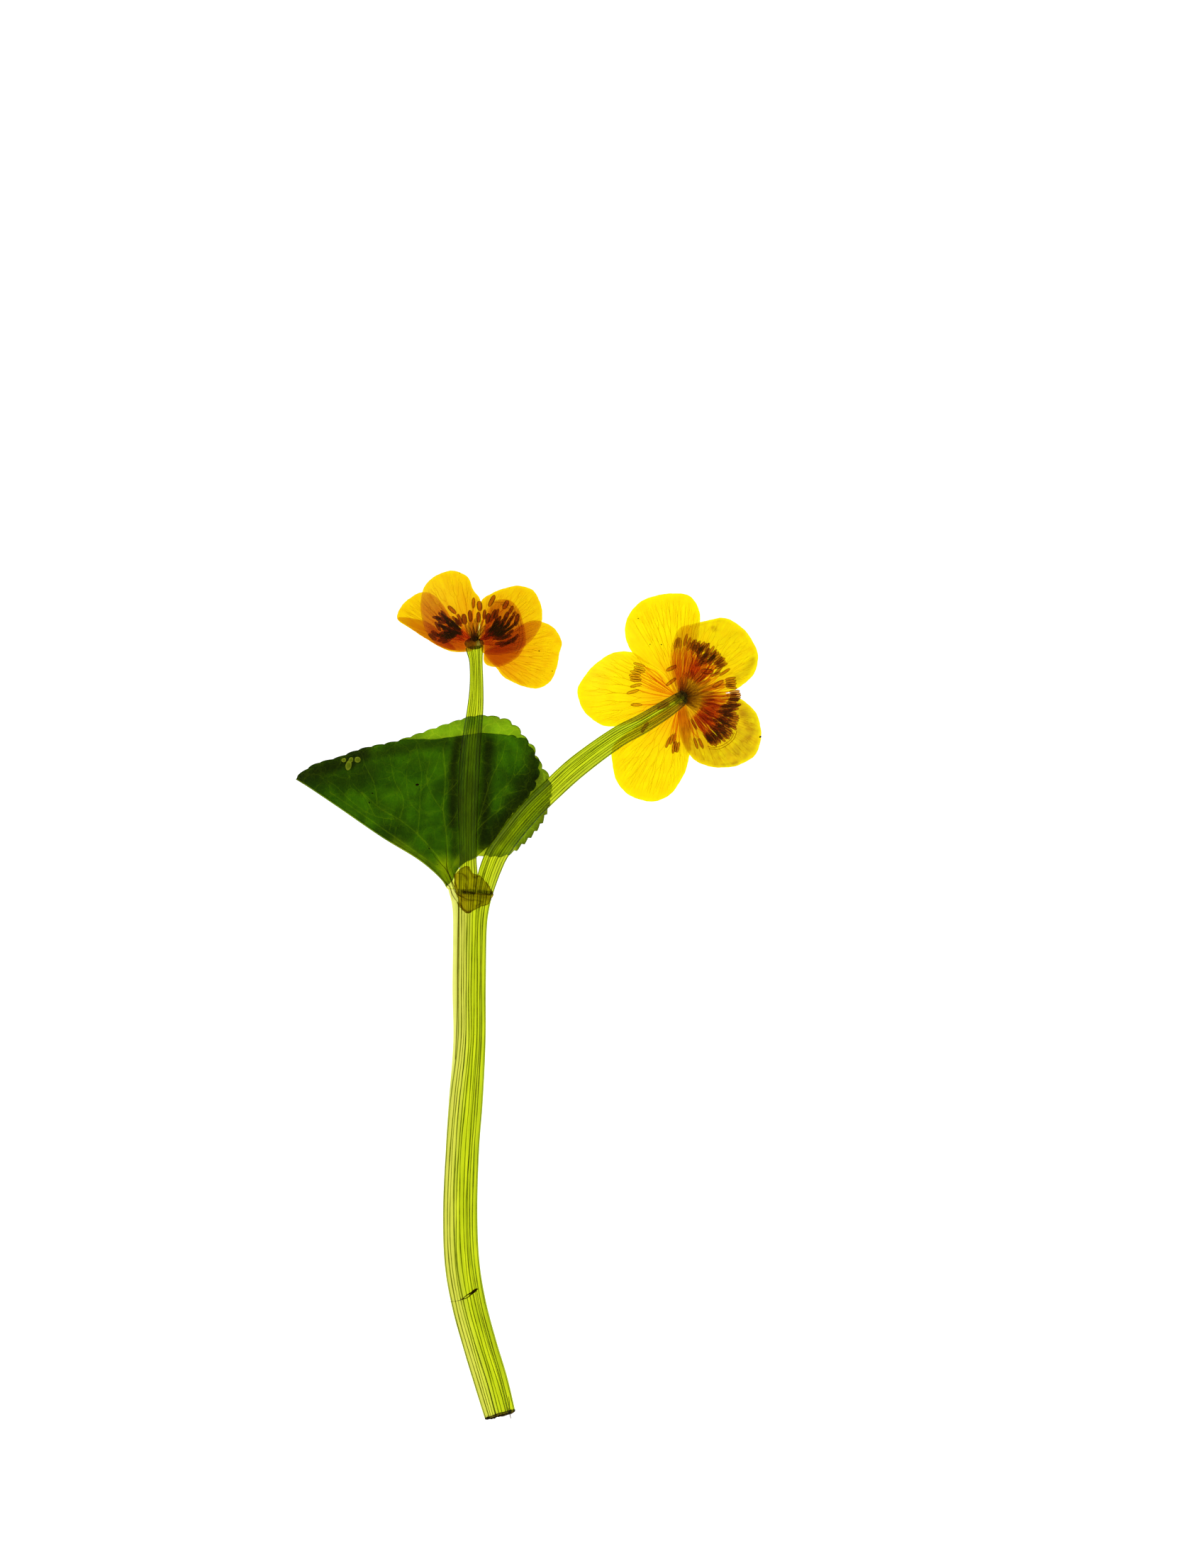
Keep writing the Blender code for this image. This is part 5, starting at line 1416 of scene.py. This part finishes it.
def turned(profile, segments):
    """A profile of (radius, height) rows spun full circle, with a slightly uneven rim."""
    bm = bmesh.new()
    verts = [bm.verts.new((radius, 0.0, height)) for radius, height in profile]
    edges = [bm.edges.new(pair) for pair in zip(verts, verts[1:])]
    bmesh.ops.spin(bm, geom=verts + edges, cent=(0, 0, 0), axis=(0, 0, 1), angle=math.tau,
                   steps=segments, use_merge=True)
    bmesh.ops.remove_doubles(bm, verts=bm.verts[:], dist=0.001)
    for vert in bm.verts:
        bulge = 1 + 0.10 * wave(3 * math.atan2(vert.co.y, vert.co.x), 2)
        vert.co.x *= bulge
        vert.co.y *= bulge
    bmesh.ops.recalc_face_normals(bm, faces=bm.faces[:])
    return bm


def heart_fibres(first, last, count, longest, z, dice):
    """Fine fibres that run from the receptacle out over the carpels."""
    paths = []
    for number in range(count):
        turn = math.radians(first + (last - first) * (number + dice.uniform(0.2, 0.8)) / count)
        begin, end = dice.uniform(0.1, 0.9), longest * dice.uniform(0.45, 1.0)
        bend = dice.uniform(-0.25, 0.25)
        line = []
        for step in range(13):
            t = step / 12
            out = begin + (end - begin) * t
            aim = turn + bend * t * t
            line.append((out * math.cos(aim), out * math.sin(aim), z,
                         0.07 * (1 - 0.75 * t)))
        paths.append(line)
    return paths


anther_skin = see_through("anther_skin", anther_paint, light=0.96, roughness=0.6,
                          cloud_size=0.6, cloud=0.35, grain_size=0.12, grain=0.2, specks=0.0)
filament_skin = see_through("filament_skin", plain(FILAMENT_ORANGE, (0.75, 0.28, 0.003, 1.0)),
                            light=0.97, cloud_size=2.0, cloud=0.6, specks=0.0)
carpel_skin = see_through("carpel_skin", carpel_paint, light=0.95, cloud_size=1.2, cloud=0.35,
                          grain_size=0.15, grain=0.2, specks=0.0)
receptacle_skin = see_through("receptacle_skin",
                              plain(RECEPTACLE_OLIVE, (0.30, 0.22, 0.03, 1.0)), light=0.95,
                              cloud_size=0.35, cloud=0.8, grain_size=0.15, grain=0.3)
fibre_flesh = see_through("heart_fibre_flesh", plain(FIBRE_DARK, (0.12, 0.08, 0.006, 1.0)),
                          light=0.95, cloud_size=0.8, cloud=0.5, specks=0.0)


def right_tone(x, y):
    """Anthers on the left of the flower are paler than those in the dense bunch."""
    return 0.9 if x < -5 else 0.62 if y > 8.5 and x < 1 else 0.35 if y > 2 else 0.2


RIGHT_HEART = ["right_flower_heart"]
right_bunches = []
for first, last, out, count in ((40, 80, 10.6, 12), (-58, 4, 10.2, 26)):
    for number in range(count):
        turn = first + (last - first) * (number + dice.random()) / count
        reach = out + dice.uniform(-1.1, 0.7)
        right_bunches.append((reach * math.cos(math.radians(turn)),
                              reach * math.sin(math.radians(turn)),
                              turn + dice.uniform(-9, 9)))
right_rows = anther_rows((*RIGHT_ANTHERS, *right_bunches),
                         lambda i: (0.75, 1.15, 1.6, 2.0)[i % 4], right_tone)
loose_rows = anther_rows(RIGHT_LOOSE_ANTHERS, lambda i: 1.3, lambda x, y: 0.7 if x > 0 else 0.45)
place("right_anthers", blobs(right_rows + loose_rows, 14, 12, anther_shape), anther_skin,
      RIGHT_HEART, "flower_heart", RIGHT_CENTRE)
right_threads = [filament(4.6 if x > 1.5 else 1.4, x, y, turn, 2 * length, 1.6, z, 0.12,
                          dice.uniform(-0.35, 0.35))
                 for x, y, z, length, width, high, turn, tone in right_rows]
right_threads += [filament(4.2, x * 0.97, y * 0.97, turn, 2 * length, 1.7, z, 0.10,
                           dice.uniform(-0.8, 0.8))
                  for x, y, z, length, width, high, turn, tone in right_rows if x > 1.5 or y > 6]
strands("right_filaments", right_threads, filament_skin, RIGHT_HEART,
        RIGHT_CENTRE)
place("right_carpels", blobs(carpel_rows(RIGHT_CARPELS, 0.6, (1.0, 1.5)), 18, 14, carpel_shape),
      carpel_skin, RIGHT_HEART, "flower_heart", RIGHT_CENTRE)
place("right_receptacle", turned(RIGHT_RECEPTACLE, 40), receptacle_skin, RIGHT_HEART,
      "flower_heart", RIGHT_CENTRE)
strands("right_heart_fibres",
        heart_fibres(-50, 115, 26, 5.6, 2.2, dice) + heart_fibres(-120, 240, 12, 2.2, 2.4, dice),
        fibre_flesh, RIGHT_HEART, RIGHT_CENTRE, roundness=0)


# Left flower: sepals
#
# This flower lies on its side. Two sepals arch over its heart and three lie under it, so that
# three or four layers overlap, and the left one has its lower edge turned over.

LEFT_CENTRE = (-10.9, 70.5)
LEFT_SEPALS = (
    # Whether it arches over the heart, layer, base, direction, tone, darker places, outline
    (False, 0, (-1.6, -1.2), 155.0, 0.04, (),
     ((-1.8, -1.5), (-3.8, -1.8), (-6.4, -1.1), (-9.9, 0.9), (-13.4, 3.2),
      (-15.6, 4.8), (-15.0, 7.2), (-13.2, 9.0), (-11.3, 10.1), (-9.2, 10.1),
      (-7.1, 8.6), (-5.2, 5.8), (-3.3, 3.0), (-1.9, 0.4))),
    (True, 0, (-0.9, -1.0), 118.0, 0.05, (),
     ((-1.9, -1.9), (-5.2, -1.2), (-8.0, 0.1), (-9.9, 2.7), (-10.8, 6.5),
      (-10.5, 10.3), (-9.0, 12.7), (-6.0, 14.3), (-3.8, 14.4), (-1.4, 13.2),
      (-0.3, 10.7), (1.2, 8.4), (1.3, 5.3), (0.7, 2.0), (0.2, -1.0))),
    (True, 1, (1.0, -1.4), 42.0, 0.12, (),
     ((1.6, -2.0), (1.2, 0.6), (1.1, 4.4), (1.3, 8.1), (3.3, 9.8), (6.6, 11.1),
      (9.2, 11.4), (11.8, 10.4), (13.3, 7.4), (13.4, 4.1), (11.8, 1.0), (8.7, -1.6),
      (4.7, -2.5))),
    (False, 0, (1.6, -1.8), 335.0, 0.0, (),
     ((1.9, -2.0), (4.1, -4.8), (5.9, -6.9), (9.2, -8.5), (12.2, -9.1),
      (14.8, -8.0), (16.3, -5.3), (16.9, -2.2), (17.4, 0.1), (16.2, 2.7),
      (13.6, 4.3), (10.8, 4.4), (7.8, 2.7), (4.2, -0.3))),
    (False, 1, (1.6, -1.5), 30.0, 0.1, (),
     ((1.8, -1.3), (1.9, -4.0), (4.2, -4.8), (6.6, -4.1), (8.7, -2.6),
      (10.1, -0.3), (10.1, 2.0), (9.6, 4.4), (8.5, 7.2), (6.6, 8.7), (4.0, 8.4),
      (2.6, 6.5), (2.0, 3.4), (1.8, 0.6))),
)
# The turned-over edge of the left sepal, and the soft creases of the inner right one
LEFT_FLAP = ((-15.6, 4.9), (-14.0, 5.2), (-10.0, 4.4), (-7.8, 3.0), (-5.9, 0.9), (-3.8, -1.3),
             (-6.4, -1.0), (-9.9, 0.95), (-13.4, 3.25))
LEFT_CREASES = (
    ((3.6, 8.2), (6.2, 8.0), (7.8, 6.8), (9.0, 4.6), (9.5, 2.2), (9.4, 0.0), (8.4, -2.0)),
    ((5.0, 7.9), (7.0, 6.8), (8.4, 4.8), (8.9, 2.4), (8.8, 0.2), (8.0, -1.6)),
)
LEFT_YELLOW = (0.88, 0.62, 0.001, 1.0)
LEFT_GOLD = (0.72, 0.29, 0.001, 1.0)
LEFT_RIM = (0.92, 0.72, 0.002, 1.0)


def left_bed(x, y):
    """Underside of the sepals below the left flower's heart."""
    return 0.05 + 0.5 * math.exp(-(math.hypot(x, y) / 3.0) ** 2)


def left_arch(x, y):
    """Underside of the sepals above the left flower's heart."""
    ripple = 0.15 * math.sin(x / 3.4) * math.cos(y / 3.4)
    return 1.3 + ripple + 3.2 * (1 - (math.hypot(x, y) / 15.5) ** 2)


left_sepal_skin = see_through("left_sepal_skin",
                              sepal_paint(LEFT_YELLOW, LEFT_GOLD, LEFT_RIM, 16.0),
                              light=0.97, gloss=0.15, cloud_size=2.0, cloud=0.45,
                              grain_size=0.28, grain=0.14, specks=0.5)
left_vein_paths = []
for number, (over, layer, base, heading, tone, clouds, outline) in enumerate(LEFT_SEPALS,
                                                                             start=1):
    def lifted(x, y, over=over, layer=layer):
        return (left_arch if over else left_bed)(x, y) + layer * SEPAL_LAYER_STEP

    place(f"left_sepal_{number}_skin",
          thin_sheet(outline, lifted, SEPAL_THICKNESS, 52,
                     sepal_marks(base, heading, tone, clouds), ruffle=0.05),
          left_sepal_skin, [f"left_sepal_{number}"], "left_sepals", LEFT_CENTRE)
    left_vein_paths += sepal_veins(base, heading, outline,
                                   lambda x, y: lifted(x, y) + SEPAL_THICKNESS, dice, count=9)
strands("left_sepal_veins", left_vein_paths, vein_skin, ["left_sepal_1"],
        LEFT_CENTRE, roundness=0)
place("left_sepal_flap",
      thin_sheet(LEFT_FLAP, lambda x, y: left_bed(x, y) + 0.4, 0.2, 40,
                 sepal_marks((-1.6, -1.2), 155.0, 0.0, ())),
      left_sepal_skin, ["left_sepal_1"], "left_sepals", LEFT_CENTRE)
strands("left_sepal_creases",
        [[(x, y, left_bed(x, y) + SEPAL_LAYER_STEP + SEPAL_THICKNESS, 0.05)
          for x, y in Route(line).rows(24)] for line in LEFT_CREASES],
        crease_skin, ["left_sepal_5"], LEFT_CENTRE, roundness=0)


# Left flower: heart
#
# The same organs as in the right flower, seen from the side: five carpels stand up from the
# receptacle, and the stamens bunch on both sides of them.

LEFT_RECEPTACLE = ((-0.1, -0.15, 2.65, 1.95, 1.2, 0.75, 0.0, 0.0),)
LEFT_CARPELS = ((118.0, 4.2, 0.52), (103.0, 4.8, 0.6), (88.0, 5.0, 0.62), (73.0, 4.8, 0.6),
                (58.0, 4.2, 0.52))
LEFT_ANTHERS = (
    (-4.6, 6.65, 136, 2.2, 0.85), (-6.5, 5.4, 140), (-5.9, 5.1, 138), (-6.1, 5.6, 128),
    (-7.5, 4.95, 165), (-6.9, 4.4, 150), (-7.4, 3.3, 120), (-6.6, 3.4, 130), (-6.9, 4.9, 155),
    (-8.5, 1.2, 140, 2.0, 0.8), (-7.9, 1.8, 145, 2.0, 0.8), (-6.4, 0.6, 195), (-6.0, 1.2, 190),
    (-5.6, 0.4, 205), (-6.5, 1.5, 175), (-5.2, 1.8, 170), (-5.6, 2.5, 160), (-4.8, 2.6, 160),
    (-4.4, 3.2, 150), (-4.0, 3.8, 140), (-4.9, 3.7, 150), (-3.6, 3.2, 145), (-3.8, 4.5, 130),
    (-3.3, 4.1, 125), (-4.9, 4.5, 140), (-3.0, 4.8, 112), (-5.4, 4.0, 150), (-4.2, 2.2, 170),
    (-5.0, 1.1, 188), (-2.1, 4.75, 100, 2.2, 1.1), (-0.9, 5.35, 95, 2.4, 0.9),
    (0.75, 5.1, 90, 2.2, 0.85), (1.9, 5.7, 85, 2.0, 0.75), (2.6, 4.9, 80, 2.2, 0.95),
    (3.6, 5.45, 66, 2.8, 0.8), (4.3, 5.8, 62, 2.2, 0.7), (-0.3, 8.0, 87, 2.2, 0.7),
    (0.95, 7.4, 95, 2.0, 1.1), (3.4, 8.4, 62, 2.6, 0.9), (6.2, 7.6, 62, 2.0, 1.0),
    (7.2, 6.6, 62, 1.9, 0.7), (4.3, 4.6, 75), (4.8, 4.4, 70), (5.2, 3.8, 60), (4.3, 3.5, 60),
    (3.6, 3.0, 45), (3.0, 2.7, 35), (4.6, 2.7, 40), (5.5, 3.0, 35), (6.2, 3.2, 40),
    (6.3, 5.3, 65, 2.0, 0.9), (5.2, 1.9, 25), (4.4, 1.8, 25), (6.2, 2.4, 28), (3.6, 1.8, 22),
    (6.9, 2.8, 35), (6.9, 4.5, 55), (7.6, 5.3, 65), (8.4, 4.6, 76, 2.6, 0.9),
    (7.6, 3.4, 45), (6.3, 1.2, 20), (5.4, 0.9, 15), (4.6, 1.1, 20), (6.8, 0.2, 32),
    (8.1, 0.9, 58), (7.4, 0.5, 42), (6.0, -0.3, 24), (5.1, -0.1, 12), (5.8, 4.2, 60),
    (4.0, 4.0, 62), (5.0, 3.2, 45),
)
LEFT_HEART = ["left_flower_heart"]
LEFT_RECEPTACLE_BROWN = (0.34, 0.26, 0.03, 1.0)

left_bunches = []
for middle_x, middle_y, first, last in ((-5.0, 2.5, 195, 130), (5.3, 2.7, 10, 70)):
    for _ in range(13):
        turn, out = dice.uniform(0, math.tau), dice.uniform(0, 1) ** 0.5
        x, y = middle_x + 1.9 * out * math.cos(turn), middle_y + 1.5 * out * math.sin(turn)
        share = min(max((y - middle_y + 1.5) / 3.0, 0.0), 1.0)
        left_bunches.append((x, y, first + (last - first) * share + dice.uniform(-12, 12), 2.1))
# The anthers in the two bunches beside the carpels get the lowest tone: painted shade for the anthers
# overlapping there. The rest are darker below y 6.2 than above it.
left_rows = anther_rows((*LEFT_ANTHERS, *left_bunches),
                        lambda i: (1.75, 2.15, 2.6, 3.0)[i % 4],
                        lambda x, y: 0.03 if math.hypot(abs(x) - 5.1, y - 2.6) < 2.1
                        else 0.06 if y < 6.2 else 0.12)
place("left_anthers", blobs(left_rows, 14, 12, anther_shape), anther_skin, LEFT_HEART,
      "flower_heart", LEFT_CENTRE)
left_threads = [filament(1.0, x, y, turn, 2 * length, 2.5, z, 0.10, dice.uniform(-0.3, 0.3))
                for x, y, z, length, width, high, turn, tone in left_rows]
strands("left_filaments", left_threads, filament_skin, LEFT_HEART, LEFT_CENTRE)
place("left_carpels", blobs(carpel_rows(LEFT_CARPELS, 0.4, (2.3, 2.8)), 18, 14, carpel_shape),
      carpel_skin, LEFT_HEART, "flower_heart", LEFT_CENTRE)
left_receptacle_skin = see_through("left_receptacle_skin",
                                   plain(LEFT_RECEPTACLE_BROWN, (0.08, 0.05, 0.006, 1.0)),
                                   light=0.93, cloud_size=0.3, cloud=0.9, grain_size=0.12,
                                   grain=0.4)
place("left_receptacle", blobs(LEFT_RECEPTACLE, 28, 14), left_receptacle_skin, LEFT_HEART,
      "flower_heart", LEFT_CENTRE)
strands("left_heart_fibres", heart_fibres(52, 124, 26, 4.9, 3.3, dice)
        + heart_fibres(10, 170, 12, 1.7, 3.4, dice),
        fibre_flesh, LEFT_HEART, LEFT_CENTRE, roundness=0)


# Specks
#
# A few grains of dark grit that stick to the sepals and to the leaf.

FLOWER_GRIT = (
    # x, y, radius, from the right flower's centre
    (-8.5, 15.95, 0.11), (-6.15, 10.7, 0.10), (-3.9, 10.65, 0.12), (16.0, -7.7, 0.2),
    (2.0, 14.3, 0.06), (4.6, 3.4, 0.09),
)
LEFT_GRIT = ((12.85, -1.55, 0.12), (15.5, -5.6, 0.1), (-3.0, 13.9, 0.07))
LEAF_GRIT = ((-22.45, 42.1, 0.26), (-31.4, 40.4, 0.15), (-32.1, 38.5, 0.14),
             (-13.7, 49.2, 0.16), (-6.2, 43.25, 0.09), (-18.45, 26.1, 0.09),
             (-20.1, 29.3, 0.13), (-26.4, 33.5, 0.09), (-25.2, 47.0, 0.07))
grit_skin = see_through("grit_skin", plain((0.02, 0.012, 0.004, 1.0), (0.1, 0.06, 0.01, 1.0)),
                        light=0.5, roughness=0.8, cloud_size=0.2, cloud=0.5)
for name, origin, rows, height, nodes, slot in (
        ("right_flower_grit", RIGHT_CENTRE, FLOWER_GRIT,
         lambda x, y: right_dome(x, y) + SEPAL_LAYER_STEP + SEPAL_THICKNESS, ["right_sepal_1"],
         "right_sepals"),
        ("left_flower_grit", LEFT_CENTRE, LEFT_GRIT,
         lambda x, y: (left_arch if y > 0 else left_bed)(x, y) + SEPAL_THICKNESS,
         ["left_sepal_4"], "left_sepals"),
        ("leaf_grit", (0.0, 0.0), LEAF_GRIT,
         lambda x, y: leaf_height(x, y, True) + LEAF_THICKNESS / 2, ["leaf"], "leaf")):
    place(name, blobs([(x, y, height(x, y) + 0.03, radius * 1.25, radius * 0.85, 0.08,
                        90.0 * wave(x, y), 0.0) for x, y, radius in rows], 10, 7),
          grit_skin, nodes, slot, origin)
